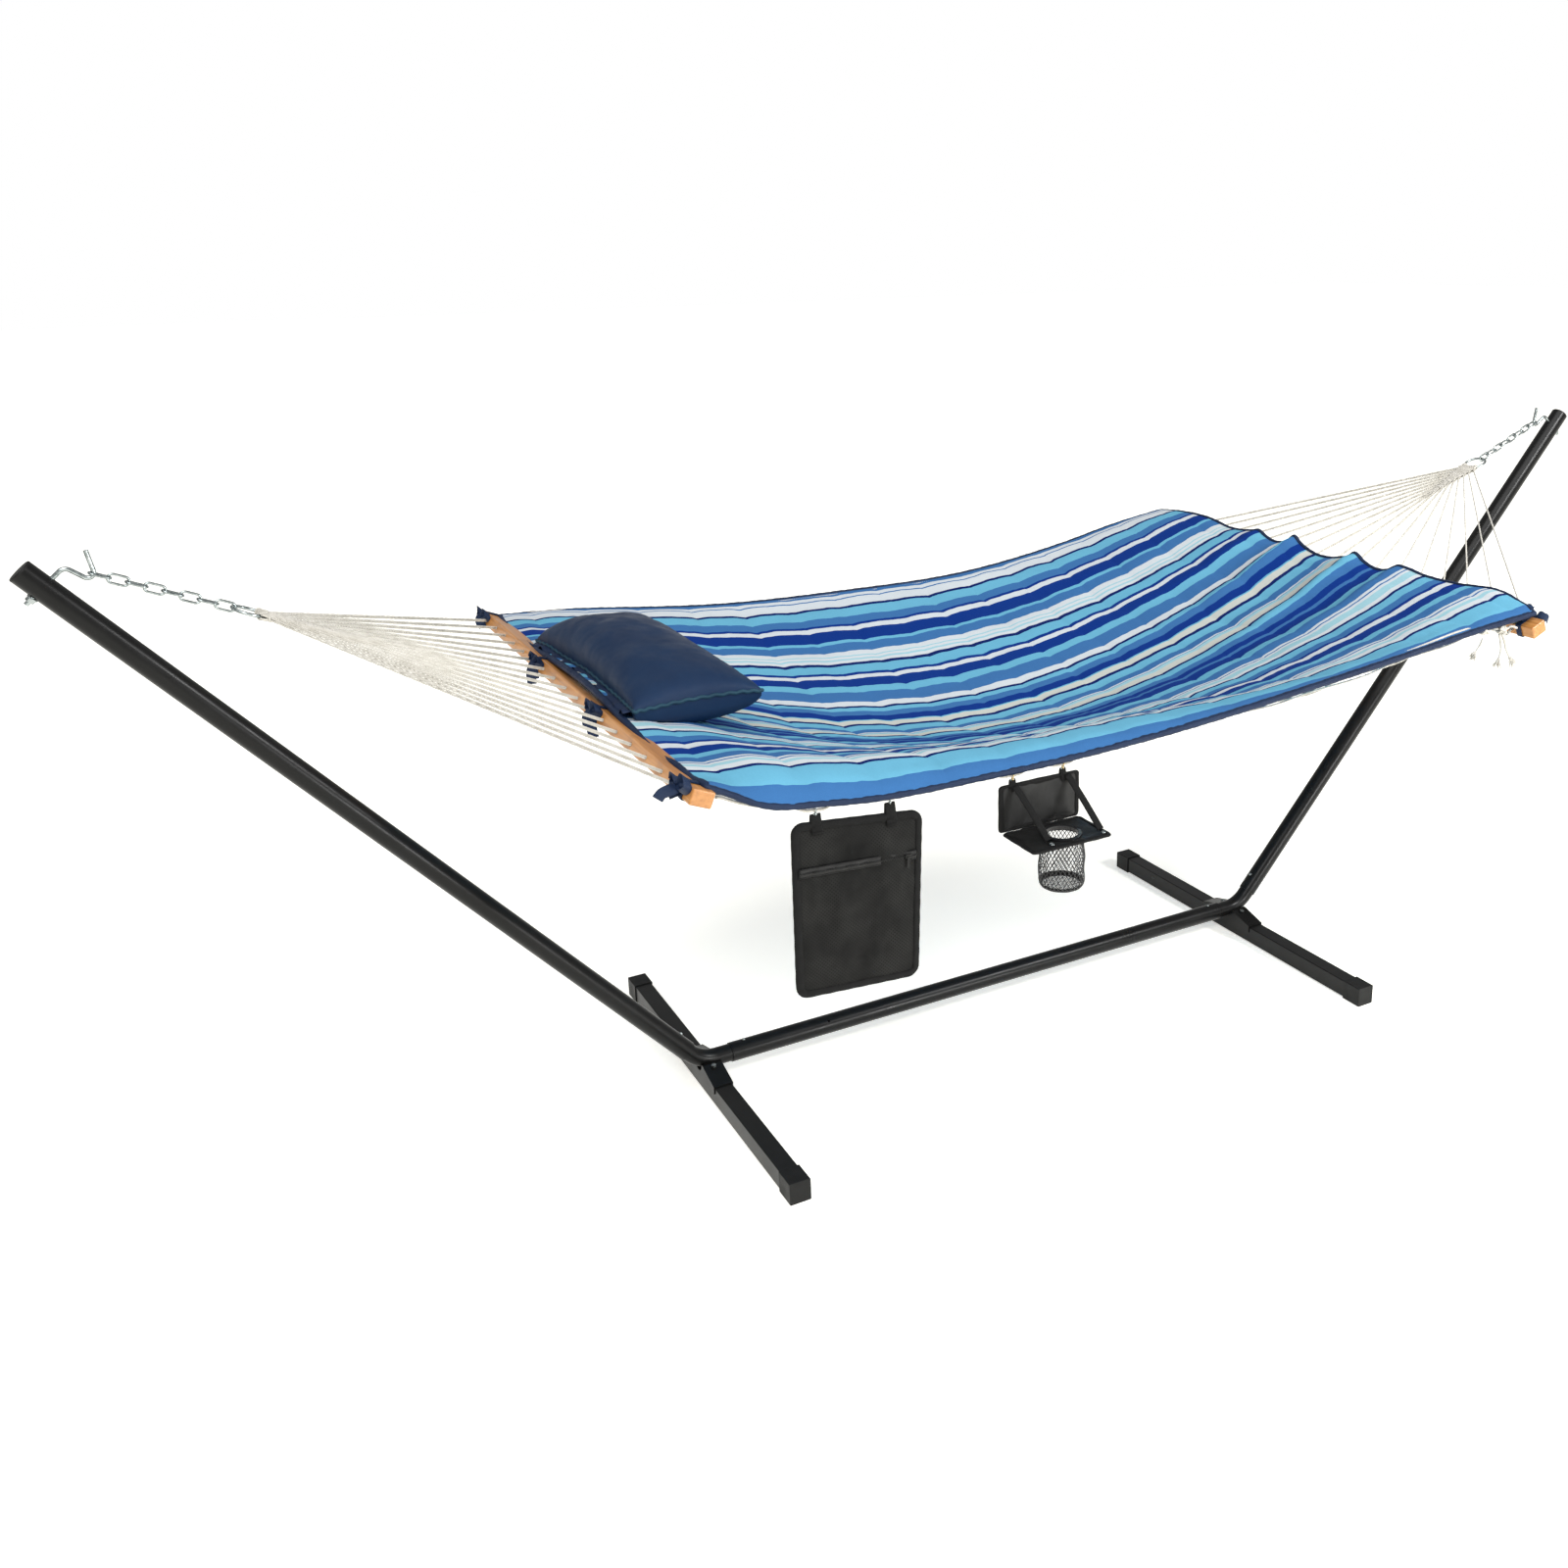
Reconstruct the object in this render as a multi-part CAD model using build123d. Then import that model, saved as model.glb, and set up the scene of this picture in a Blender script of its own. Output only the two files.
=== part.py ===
from build123d import *
import math
import os

# Quilted hammock on a two-foot tubular steel stand, with a pillow, a storage bag and a drink tray.
# Millimetres. Origin on the floor under the middle of the stand, X along the hammock, Y across it, Z up.

# ---- stand ------------------------------------------------------------------------------------
OVERALL_LENGTH = 3658.0         # 12 ft over the tops of the two arms
TUBE_R = 21.0                   # base tube and arms
TUBE_WALL = 1.5
ELBOW_R = 19.0                  # elbows slide inside the tubes
ELBOW_WALL = 1.5
ELBOW_BEND = 80.0
ELBOW_X = 746.0                 # where the base axis meets the arm axis
ELBOW_INSERT = 80.0             # elbow length inside each tube
BASE_HALF = 678.0
ARM_ANGLE = 48.4                # degrees above the floor
ARM_START = 44.0                # along the arm axis, from the crossing of the two axes
ARM_CAP = 4.0

FOOT_SPACING = 1460.0
FOOT_LENGTH = 940.0
FOOT_BEAM_X = 39.0
FOOT_BEAM_Z = 41.0
FOOT_WALL = 1.5
FOOT_CAP_WALL = 2.5
FOOT_CAP_DEPTH = 50.0
FOOT_TOP = FOOT_CAP_WALL + FOOT_BEAM_Z
AXIS_Z = FOOT_TOP + ELBOW_R     # the elbow lies on the foot

SADDLE_HALF = 88.0
SADDLE_RIDGE_Y = 26.0
SADDLE_TOP = 64.0
SADDLE_EAVE = 46.5
SADDLE_LAP = 30.0               # how low the side plates reach
SADDLE_PLATE = 2.3
SADDLE_BOLT_Y = 36.0
BOLT_SEAT = 63.0
BOLT_R = 3.0
BOLT_HOLE_R = 3.3
HEX_R = 5.5

BASE_BUTTON_X = 646.0
ARM_BUTTON_T = 84.0
BUTTON_R = 3.5
BUTTON_HOLE_R = 3.8
BUTTON_TOP = 24.0               # from the tube axis
BUTTON_FLANGE = (14.9, 16.4)
VENT_X = -447.0

# ---- hooks and pull line --------------------------------------------------------------------
HOOK_T = 1565.0                 # along the arm axis
HOOK_R = 4.0
HOOK_PEAK = (1751.3, 1262.7)    # X, Z of the corners that the bends round off
HOOK_VALLEY = (1707.0, 1229.0)
HOOK_TIP = (1717.1, 1286.0)
HOOK_PEAK_BEND = 12.0
HOOK_VALLEY_BEND = 9.0

BAR_X = 948.5
BAR_Z = 926.0
BAR_LENGTH = 1334.0
BAR_DEPTH = 39.0                # along the ropes
BAR_THICK = 27.5
STATIONS = 17
STATION_SPAN = 1224.0
STRAND_GAP = 3.8                # between the two strands that share a hole
ROPE_HOLE_R = 4.0
STRAND_R = 1.6

LINK_WIRE_R = 2.25
LINK_END_R = 7.5
LINK_STRAIGHT = 17.0
LINK_PITCH = 27.1
LINK_COUNT = 8
FIRST_LINK = 9.0                # from the middle of the hook's rod
RING_WIRE_R = 3.0
RING_R = 26.0
WEAVE_LENGTH = 50.0
WEAVE_START_HALF = 16.0
WEAVE_THICK = 10.0

# ---- bed: stations along X, heights of the middle layer at front, centre and back -----------
PAD_X = (-948, -905, -850, -720, -400, -60, 300, 620, 800, 975)
PAD_FRONT = (951, 926, 888, 868, 856, 865, 895, 932, 959, 981)
PAD_CENTRE = (953, 935, 905, 845, 743, 700, 730, 820, 893, 980)
PAD_BACK = (955, 947, 938, 922, 889, 880, 885, 927, 962, 987)
PAD_HALF = 650.0
PAD_EDGE_THICK = 7.0
PAD_THICK = 24.0
PAD_END_THICK = 8.0
PAD_HALFWAY_THICK = 20.0
SAG_POWER = 1.5                 # how the bed rises from its centre line to its edges

NET_X = (-922, -850, -720, -400, -60, 300, 620, 800, 922)
NET_FRONT = (912, 870, 852, 837, 843, 873, 912, 926, 914)
NET_CENTRE = (912, 880, 822, 720, 677, 707, 797, 868, 914)
NET_BACK = (912, 906, 900, 868, 858, 864, 908, 924, 914)
NET_HALF = 628.0
NET_THICK = 5.0
EDGE_Y = 641.0
EDGE_CORD_R = 3.0
EDGE_END_X = 927.0
EDGE_END_Z = 917.0
EDGE_DROP = 12.0                # cord below the middle of the pad's edge
EDGE_BEND = (858.0, 935.5)      # where the cord turns down to the right bar
KNOT_X = (806.0, 858.0)
KNOT_R = 7.0
KNOT_WIRE_R = 3.2

TIE_Y = (-631.0, -191.0, 191.0, 631.0)
TIE_WIDTH = 14.0
TIE_GAP = 0.6
TIE_THICK = 2.0

PILLOW_CENTRE = (-788.0, 30.0, 945.0)
PILLOW_SIZE = (262.0, 630.0, 108.0)
PILLOW_ROUND = 45.0
PILLOW_TILT = 9.0

TAIL_R = 2.8
TAILS = (
    ((804, -642, 922), (799, -643, 906), (777, -646, 893)),
    ((854, -642, 924), (861, -643, 903), (862, -645, 883), (852, -647, 866)),
    ((862, -642, 924), (872, -644, 903), (879, -643, 885), (892, -647, 864)),
)

# ---- storage bag and drink tray -------------------------------------------------------------
HANGER_R = 4.4                  # hook bent round the edge cord
HANGER_WIRE = 1.0
HANGER_WELD = 0.15
EYE_R = 2.4
RINGLET_R = 4.5
RINGLET_WIRE = 0.9
RINGLET_DROP = 0.3

BAG_CORNERS = ((-791, 840), (-553, 817), (-565, 514), (-793, 530))
BAG_CORNER_R = 24.0
BAG_THICK = 14.0
BAG_HANGERS = (-749.0, -612.0)
STRAP_WIDTH = 20.0
STRAP_THICK = 2.4
ZIP_ENDS = ((-785, 755), (-567, 742))
ZIP_TAPE = 14.0
ZIP_TAPE_T = 0.8
ZIP_RIDGE = 3.2
ZIP_RIDGE_T = 1.6
SLIDER_FROM_END = 16.0

TRAY_X = (-396.0, -229.0)
TRAY_Z = (741.0, 827.0)
TRAY_THICK = 5.0
TRAY_HANGERS = (-369.0, -263.0)
TAB_SIZE = (14.0, 4.0, 18.0)
SHELF_DEPTH = 102.0
SHELF_THICK = 4.0
SHELF_TOP = 742.0
SHELF_HINGE_R = 2.0
SHELF_HINGE_GAP = 0.4
CUP_CENTRE = (-305.0, -702.0)
CUP_RIM_R = 35.0
CUP_INNER_R = 28.5
CUP_BODY_R = 41.0
CUP_BOTTOM = 646.0
CUP_WALL = 1.5
TRAY_STRAPS = (((-367, 826), (-347, -722)), ((-256, 826), (-241, -728)))
TRAY_STRAP_WIDTH = 14.0
TRAY_STRAP_THICK = 1.6

ANGLE = math.radians(ARM_ANGLE)
ARM_DIR = Vector(math.cos(ANGLE), 0, math.sin(ANGLE))
ARM_UP = Vector(-math.sin(ANGLE), 0, math.cos(ANGLE))
ARM_LENGTH = (OVERALL_LENGTH / 2 - TUBE_R * math.sin(ANGLE) - ELBOW_X) / math.cos(ANGLE)
CROSSING = Vector(ELBOW_X, 0, AXIS_Z)


def arm_point(t):
    """Point on the right arm's axis."""
    return CROSSING + ARM_DIR * t


def rod(start, end, radius):
    """Round bar from one point to another."""
    axis = Vector(end) - Vector(start)
    return Solid.make_cylinder(radius, axis.length, Plane(origin=start, z_dir=axis))


def pipe(start, end, radius, wall):
    return rod(start, end, radius) - rod(start, end, radius - wall)


def bent_rod(points, radius, bend):
    """Round bar along straight runs with rounded corners."""
    path = FilletPolyline(*points, radius=bend)
    return sweep(Plane(origin=path @ 0, z_dir=path % 0) * Circle(radius), path=path)


def curved_rod(points, radius):
    """Round bar along a smooth curve through the points."""
    path = Spline(*points)
    return sweep(Plane(origin=path @ 0, z_dir=path % 0) * Circle(radius), path=path)


def cord(points, radius):
    """Limp cord: straight runs with an arc at each corner. It prints each arc's radius."""
    knots = [Vector(p) for p in points]
    radii = []
    for before, corner, after in zip(knots, knots[1:], knots[2:]):
        run_in = corner - before
        run_out = after - corner
        turn = math.radians(run_in.get_angle(run_out))
        radii.append(0.45 * min(run_in.length, run_out.length) / math.tan(turn / 2))
    print("cord radii", [round(r, 1) for r in radii])
    path = FilletPolyline(*knots, radius=radii)
    return sweep(Plane(origin=path @ 0, z_dir=path % 0) * Circle(radius), path=path)


def other_side(shape):
    """The matching piece at the left end."""
    return mirror(shape, about=Plane.YZ)


def torus(centre, axis, radius, wire):
    return Plane(origin=centre, z_dir=axis) * Torus(radius, wire)


def save(name, *solids):
    shape = solids[0] if len(solids) == 1 else Compound(children=list(solids))
    export_step(shape, f"parts/{name}.step")


def save_pair(name, shape):
    save(f"right_{name}", shape)
    save(f"left_{name}", other_side(shape))


# ---- stand pieces -----------------------------------------------------------------------------
def base_tube():
    tube = pipe((-BASE_HALF, 0, AXIS_Z), (BASE_HALF, 0, AXIS_Z), TUBE_R, TUBE_WALL)
    for x in (-BASE_BUTTON_X, BASE_BUTTON_X):
        tube -= rod((x, 0, AXIS_Z), (x, 0, AXIS_Z + 2 * TUBE_R), BUTTON_HOLE_R)
    vent = Vector(VENT_X, 0, AXIS_Z)
    return tube - rod(vent, vent + Vector(0, -TUBE_R, TUBE_R) * 2, 2.5)


def elbow():
    start = (BASE_HALF - ELBOW_INSERT, 0, AXIS_Z)
    points = (start, CROSSING, arm_point(ARM_START + ELBOW_INSERT))
    shape = bent_rod(points, ELBOW_R, ELBOW_BEND) - bent_rod(points, ELBOW_R - ELBOW_WALL, ELBOW_BEND)
    shape -= rod((BASE_BUTTON_X, 0, AXIS_Z), (BASE_BUTTON_X, 0, AXIS_Z + 2 * TUBE_R), BUTTON_HOLE_R)
    hole = arm_point(ARM_BUTTON_T)
    return shape - rod(hole, hole + ARM_UP * 2 * TUBE_R, BUTTON_HOLE_R)


def arm_tube():
    tube = pipe(arm_point(ARM_START), arm_point(ARM_LENGTH - ARM_CAP), TUBE_R, TUBE_WALL)
    hole = arm_point(ARM_BUTTON_T)
    tube -= rod(hole, hole + ARM_UP * 2 * TUBE_R, BUTTON_HOLE_R)
    hook = arm_point(HOOK_T)
    return tube - rod(hook - ARM_UP * 2 * TUBE_R, hook + ARM_UP * 2 * TUBE_R, HOOK_R + 0.3)


def arm_cap():
    """Plastic plug with a domed flange."""
    flange = rod(arm_point(ARM_LENGTH - ARM_CAP), arm_point(ARM_LENGTH), TUBE_R)
    flange = fillet(flange.edges().group_by(Axis(arm_point(0), ARM_DIR))[-1], 2.5)
    plug = rod(arm_point(ARM_LENGTH - 20), arm_point(ARM_LENGTH - ARM_CAP), TUBE_R - TUBE_WALL - 0.1)
    return flange + plug


def foot_beam(side):
    beam_length = FOOT_LENGTH - 2 * FOOT_CAP_WALL
    middle = Pos(side * FOOT_SPACING / 2, 0, FOOT_CAP_WALL + FOOT_BEAM_Z / 2)
    outer = fillet(Box(FOOT_BEAM_X, beam_length, FOOT_BEAM_Z).edges().filter_by(Axis.Y), 2.0)
    beam = outer - Box(FOOT_BEAM_X - 2 * FOOT_WALL, beam_length, FOOT_BEAM_Z - 2 * FOOT_WALL)
    for y in (-SADDLE_BOLT_Y, SADDLE_BOLT_Y):
        beam -= Pos(0, y, FOOT_BEAM_Z / 2) * Cylinder(BOLT_HOLE_R, 10)
    return middle * beam


def foot_cap(side, end):
    """Plastic cap over one end of a foot beam. It is what stands on the floor."""
    width = FOOT_BEAM_X + 2 * FOOT_CAP_WALL
    height = FOOT_TOP + FOOT_CAP_WALL
    cap = fillet(Box(width, FOOT_CAP_DEPTH, height).edges().filter_by(Axis.Y), 2.0)
    pocket = Pos(0, -end * FOOT_CAP_WALL, 0) * Box(FOOT_BEAM_X, FOOT_CAP_DEPTH, FOOT_BEAM_Z)
    place = Pos(side * FOOT_SPACING / 2, end * (FOOT_LENGTH - FOOT_CAP_DEPTH) / 2, height / 2)
    return place * (cap - pocket)


def saddle_outline(inset):
    """Half-hexagon across the foot, from eave to eave."""
    half = SADDLE_HALF - inset
    points = [(-half, SADDLE_LAP), (-half, SADDLE_EAVE - inset), (-SADDLE_RIDGE_Y, SADDLE_TOP - inset)]
    points += [(SADDLE_RIDGE_Y, SADDLE_TOP - inset), (half, SADDLE_EAVE - inset), (half, SADDLE_LAP)]
    return Plane.YZ * make_face(Polyline(*points, close=True))


def saddle():
    """Folded plate between foot and elbow: sloping covers, side plates lapping down the foot."""
    shell = extrude(saddle_outline(0), FOOT_BEAM_X / 2 + SADDLE_PLATE, both=True)
    shell -= extrude(saddle_outline(SADDLE_PLATE), FOOT_BEAM_X / 2, both=True)
    for y in (-SADDLE_BOLT_Y, SADDLE_BOLT_Y):
        shell += rod((0, y, FOOT_TOP), (0, y, BOLT_SEAT), 7)
        shell -= Pos(0, y, FOOT_TOP) * Cylinder(BOLT_HOLE_R, 80)
    shell -= Pos(0, 0, FOOT_TOP / 2) * Box(FOOT_BEAM_X, 2 * SADDLE_HALF + 10, FOOT_TOP)
    shell = Pos(FOOT_SPACING / 2, 0, 0) * shell
    return shell - rod((BASE_HALF, 0, AXIS_Z), (ELBOW_X + 40, 0, AXIS_Z), ELBOW_R + 0.1)


def hexagon(height):
    return extrude(RegularPolygon(HEX_R, 6), height)


def saddle_bolts():
    bolts = []
    for side in (-1, 1):
        for y in (-SADDLE_BOLT_Y, SADDLE_BOLT_Y):
            shank = rod((0, 0, -28), (0, 0, 0), BOLT_R)
            bolts.append(Pos(side * FOOT_SPACING / 2, y, BOLT_SEAT) * (shank + hexagon(4)))
    return bolts


def saddle_nuts():
    """Nuts under the foot's top wall."""
    nut = hexagon(5) - Cylinder(BOLT_R + 0.05, 20)
    nuts = []
    for side in (-1, 1):
        for y in (-SADDLE_BOLT_Y, SADDLE_BOLT_Y):
            nuts.append(Pos(side * FOOT_SPACING / 2, y, FOOT_TOP - FOOT_WALL - 5.2) * nut)
    return nuts


def snap_button():
    """Button on local Z, its tube axis at the origin: domed pin with a flange inside the elbow."""
    pin = rod((0, 0, BUTTON_FLANGE[0]), (0, 0, BUTTON_TOP), BUTTON_R)
    pin = fillet(pin.edges().group_by(Axis.Z)[-1], 2.0)
    return pin + rod((0, 0, BUTTON_FLANGE[0]), (0, 0, BUTTON_FLANGE[1]), BUTTON_R + 1.5)


def button_spring():
    """V-shaped strip on local XZ, drawn pressed in, so the button has room to travel."""
    path = FilletPolyline((8, 0, 8.9), (-40, 0, -3), (8, 0, -14.5), radius=4)
    return sweep(Plane(origin=path @ 0, z_dir=path % 0, x_dir=(0, 1, 0)) * Rectangle(9, 1), path=path)


BASE_BUTTON = Plane(origin=(BASE_BUTTON_X, 0, AXIS_Z), x_dir=(1, 0, 0), z_dir=(0, 0, 1))
ARM_BUTTON = Plane(origin=arm_point(ARM_BUTTON_T), x_dir=-ARM_DIR, z_dir=ARM_UP)


# ---- hooks, chains, ropes and bars ------------------------------------------------------------
def hook_corners():
    start = arm_point(HOOK_T) - ARM_UP * 36
    corners = [(x, 0, z) for x, z in (HOOK_PEAK, HOOK_VALLEY, HOOK_TIP)]
    return [start] + corners


def hook_bolt():
    return bent_rod(hook_corners(), HOOK_R, [HOOK_PEAK_BEND, HOOK_VALLEY_BEND])


def hook_fastener(outer, start, length):
    """Washer or nut on the hook's shank, outside the arm."""
    at = arm_point(HOOK_T) - ARM_UP * start
    blank = Plane(origin=at, z_dir=-ARM_UP) * extrude(outer, length)
    return blank - rod(at + ARM_UP, at - ARM_UP * (length + 1), HOOK_R + 0.05)


def hook_rest():
    """Middle of the hook's rod where the first link pulls on it."""
    peak, valley, tip = (Vector(p[0], 0, p[1]) for p in (HOOK_PEAK, HOOK_VALLEY, HOOK_TIP))
    into = (valley - peak).normalized()
    out = (tip - valley).normalized()
    turn = math.radians(into.get_angle(out))
    tangent = valley + out * HOOK_VALLEY_BEND * math.tan(turn / 2)
    middle = tangent + Vector(out.Z, 0, -out.X) * HOOK_VALLEY_BEND
    pull = (Vector(BAR_X, 0, BAR_Z) - middle).normalized()
    return middle + pull * HOOK_VALLEY_BEND


HOOK_REST = hook_rest()
PULL_DIR = (Vector(BAR_X, 0, BAR_Z) - HOOK_REST).normalized()
PULL = Plane(origin=HOOK_REST, x_dir=PULL_DIR, z_dir=(PULL_DIR.Z, 0, -PULL_DIR.X))
BAR_S = (Vector(BAR_X, 0, BAR_Z) - HOOK_REST).length
RING_S = FIRST_LINK + LINK_PITCH * (LINK_COUNT - 1) + LINK_STRAIGHT / 2 + LINK_END_R + RING_R \
    - LINK_WIRE_R - RING_WIRE_R - 0.4
WEAVE_S = RING_S + RING_R - 8.0
STRAND_S = WEAVE_S + WEAVE_LENGTH
APEX_S = RING_S + 10.0          # where the fan of strands would meet


def chain_link():
    """Racetrack of round wire in the local XY plane."""
    half = LINK_STRAIGHT / 2
    ends = []
    for side in (-1, 1):
        ring = Torus(LINK_END_R, LINK_WIRE_R)
        keep = Pos(side * 50, 0, 0) * Box(100, 100, 100)
        ends.append(Pos(side * half, 0, 0) * (ring & keep))
    sides = [rod((-half, y, 0), (half, y, 0), LINK_WIRE_R) for y in (-LINK_END_R, LINK_END_R)]
    return ends[0] + ends[1] + sides[0] + sides[1]


def chain():
    links = []
    for i in range(LINK_COUNT):
        link = chain_link() if i % 2 == 0 else Rot(90, 0, 0) * chain_link()
        links.append(PULL * Pos(FIRST_LINK + LINK_PITCH * i, 0, 0) * link)
    return links


def ring():
    return PULL * Pos(RING_S, 0, 0) * Torus(RING_R, RING_WIRE_R)


def station_y(i):
    return STATION_SPAN * (i / (STATIONS - 1) - 0.5)


def fan_y(i, s):
    """Where strand i lies across the hammock, s along the pull line."""
    return station_y(i) * (s - APEX_S) / (BAR_S - BAR_DEPTH / 2 - APEX_S)


def clew_weave():
    """Woven start of the ropes: a tapered wedge closed round the ring."""
    end_half = fan_y(STATIONS - 1, STRAND_S) + 2 * STRAND_R
    points = [(WEAVE_S, -WEAVE_START_HALF), (STRAND_S, -end_half)]
    points += [(STRAND_S, end_half), (WEAVE_S, WEAVE_START_HALF)]
    wedge = extrude(make_face(Polyline(*points, close=True)), WEAVE_THICK / 2, both=True)
    wedge = fillet(wedge.edges().filter_by(Axis.Z), 3.0)
    return PULL * (wedge - Pos(RING_S, 0, 0) * Torus(RING_R, RING_WIRE_R + 0.1))


def clew_strings():
    """Pairs of strands, straight from the weave to the bar."""
    bar_face = BAR_S - BAR_DEPTH / 2 - 2.0
    strands = []
    for i in range(STATIONS):
        for row in (-1, 1):
            start = (STRAND_S + 1.4, fan_y(i, STRAND_S + 1.4), row * 2.4)
            end = (bar_face, fan_y(i, bar_face), row * STRAND_GAP / 2)
            strands.append(PULL * rod(start, end, STRAND_R))
    return strands


def spreader_bar():
    bar = fillet(Box(BAR_DEPTH, BAR_LENGTH, BAR_THICK).edges(), 3.0)
    for i in range(STATIONS):
        hole = rod((-BAR_DEPTH, 0, 0), (BAR_DEPTH, 0, 0), ROPE_HOLE_R)
        bar -= Pos(0, station_y(i), 0) * hole
    return PULL * Pos(BAR_S, 0, 0) * bar


# ---- bed --------------------------------------------------------------------------------------
def bed_section(y, stations, heights, thicknesses):
    """Upright slice of a bed layer along X."""
    top = Spline(*[(x, y, z + t / 2) for x, z, t in zip(stations, heights, thicknesses)])
    bottom = Spline(*[(x, y, z - t / 2) for x, z, t in zip(stations, heights, thicknesses)])
    ends = Line(top @ 0, bottom @ 0) + Line(top @ 1, bottom @ 1)
    return make_face(top + bottom + ends)


def pad_thickness(middle):
    inner = [middle] * (len(PAD_X) - 3)
    return [PAD_END_THICK, (PAD_END_THICK + middle) / 2] + inner + [PAD_END_THICK]


def halfway(centre, edge):
    """Heights of a bed layer halfway between its centre line and one edge."""
    return [low + (high - low) * 0.5 ** SAG_POWER for low, high in zip(centre, edge)]


def bed_layer(stations, half, heights, thicknesses):
    """Lofted bed layer. heights are (front, centre, back), thicknesses are (edge, halfway, centre)."""
    front, centre, back = heights
    edge_thick, halfway_thick, centre_thick = thicknesses
    sections = [
        bed_section(-half, stations, front, edge_thick),
        bed_section(-half / 2, stations, halfway(centre, front), halfway_thick),
        bed_section(0, stations, centre, centre_thick),
        bed_section(half / 2, stations, halfway(centre, back), halfway_thick),
        bed_section(half, stations, back, edge_thick),
    ]
    return loft(sections)


def bed_pad():
    thicknesses = [pad_thickness(t) for t in (PAD_EDGE_THICK, PAD_HALFWAY_THICK, PAD_THICK)]
    return bed_layer(PAD_X, PAD_HALF, (PAD_FRONT, PAD_CENTRE, PAD_BACK), thicknesses)


def rope_net():
    """The rope bed under the pad, as a thin sheet."""
    thickness = [NET_THICK] * len(NET_X)
    return bed_layer(NET_X, NET_HALF, (NET_FRONT, NET_CENTRE, NET_BACK), (thickness, thickness, thickness))


def edge_route(heights):
    """Points of an edge cord, from bar to bar just under the pad's edge."""
    under = [(x, 0, z - EDGE_DROP) for x, z in zip(PAD_X[2:-2], heights[2:-2])]
    bend_x, bend_z = EDGE_BEND
    return [(-EDGE_END_X, 0, EDGE_END_Z)] + under + [(bend_x, 0, bend_z), (EDGE_END_X, 0, EDGE_END_Z)]


def edge_cord(side, heights):
    """Outer cord of the rope bed."""
    return Pos(0, side * EDGE_Y, 0) * curved_rod(edge_route(heights), EDGE_CORD_R)


FRONT_EDGE = Spline(*edge_route(PAD_FRONT))


def cord_height(x):
    """Height of the front edge cord's middle at X, by halving the curve."""
    low, high = 0.0, 1.0
    while high - low > 1e-6:
        middle = (low + high) / 2
        if (FRONT_EDGE @ middle).X < x:
            low = middle
        else:
            high = middle
    return (FRONT_EDGE @ low).Z


def net_knots():
    """Turns of rope round the front edge cord, where its tails hang."""
    turns = []
    for x in KNOT_X:
        for shift in (-KNOT_WIRE_R, KNOT_WIRE_R):
            middle = (x + shift * 1.02, -EDGE_Y, cord_height(x + shift))
            turns.append(torus(middle, (1, 0, 0.12), KNOT_R, KNOT_WIRE_R))
    return turns


def pad_tie(y):
    """Strap round the bar, tied in a bow beside it."""
    inner_x = BAR_DEPTH + 2 * TIE_GAP
    inner_z = BAR_THICK + 2 * TIE_GAP
    band = Box(inner_x + 2 * TIE_THICK, TIE_WIDTH, inner_z + 2 * TIE_THICK)
    band -= Box(inner_x, TIE_WIDTH + 2, inner_z)
    knot_x = -inner_x / 2 - TIE_THICK - 5
    knot = Pos(knot_x, 0, 8) * fillet(Box(12, 18, 14).edges(), 3)
    bow = Pos(knot_x, 0, 17) * fillet(Box(9, 54, 9).edges(), 3)
    tail = Pos(knot_x, 0, -16) * Box(2, 12, 40)
    return PULL * Pos(BAR_S, y, 0) * (band + knot + bow + tail)


def pad_ties():
    right = [pad_tie(y) for y in TIE_Y]
    return right + [other_side(tie) for tie in right]


def pillow(pad):
    """Rounded block that rests on the pad: the part of it above the pad."""
    body = fillet(Box(*PILLOW_SIZE).edges(), PILLOW_ROUND)
    rest = Pos(*PILLOW_CENTRE) * Rot(0, PILLOW_TILT, 0) * body - pad
    return rest.solids().sort_by(SortBy.VOLUME)[-1]


# ---- storage bag and drink tray ---------------------------------------------------------------
def eye_height(x):
    return cord_height(x) - HANGER_R - EYE_R + HANGER_WELD


def hanger(x):
    """Wire hook closed round the edge cord, with an eye below."""
    loop = torus((x, -EDGE_Y, cord_height(x)), (1, 0, 0), HANGER_R, HANGER_WIRE)
    return loop + torus((x, -EDGE_Y, eye_height(x)), (1, 0, 0), EYE_R, HANGER_WIRE)


def ringlet_height(x):
    return eye_height(x) - RINGLET_DROP - RINGLET_R


def ringlet(x):
    """Small ring hanging in the hook's eye."""
    return torus((x, -EDGE_Y, ringlet_height(x)), (0, 1, 0), RINGLET_R, RINGLET_WIRE)


def ringlet_groove(x):
    return torus((x, -EDGE_Y, ringlet_height(x)), (0, 1, 0), RINGLET_R, RINGLET_WIRE + 0.2)


def bag_body():
    outline = FilletPolyline(*[(x, 0, z) for x, z in BAG_CORNERS], radius=BAG_CORNER_R, close=True)
    body = extrude(make_face(outline), BAG_THICK / 2, dir=(0, 1, 0), both=True)
    return Pos(0, -EDGE_Y, 0) * fillet(body.edges().group_by(Axis.Y)[0], 2)


def bag_top(x):
    (x0, z0), (x1, z1) = BAG_CORNERS[:2]
    return z0 + (z1 - z0) * (x - x0) / (x1 - x0)


def bag_straps():
    """Webbing folded over each small ring and sewn into the bag's top edge."""
    straps = []
    for x in BAG_HANGERS:
        top = ringlet_height(x) - RINGLET_R + 4
        bottom = bag_top(x) - 12
        strap = Pos(x, -EDGE_Y, (top + bottom) / 2) * Box(STRAP_WIDTH, STRAP_THICK + 1.6, top - bottom)
        straps.append(strap - ringlet_groove(x))
    return straps


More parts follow.
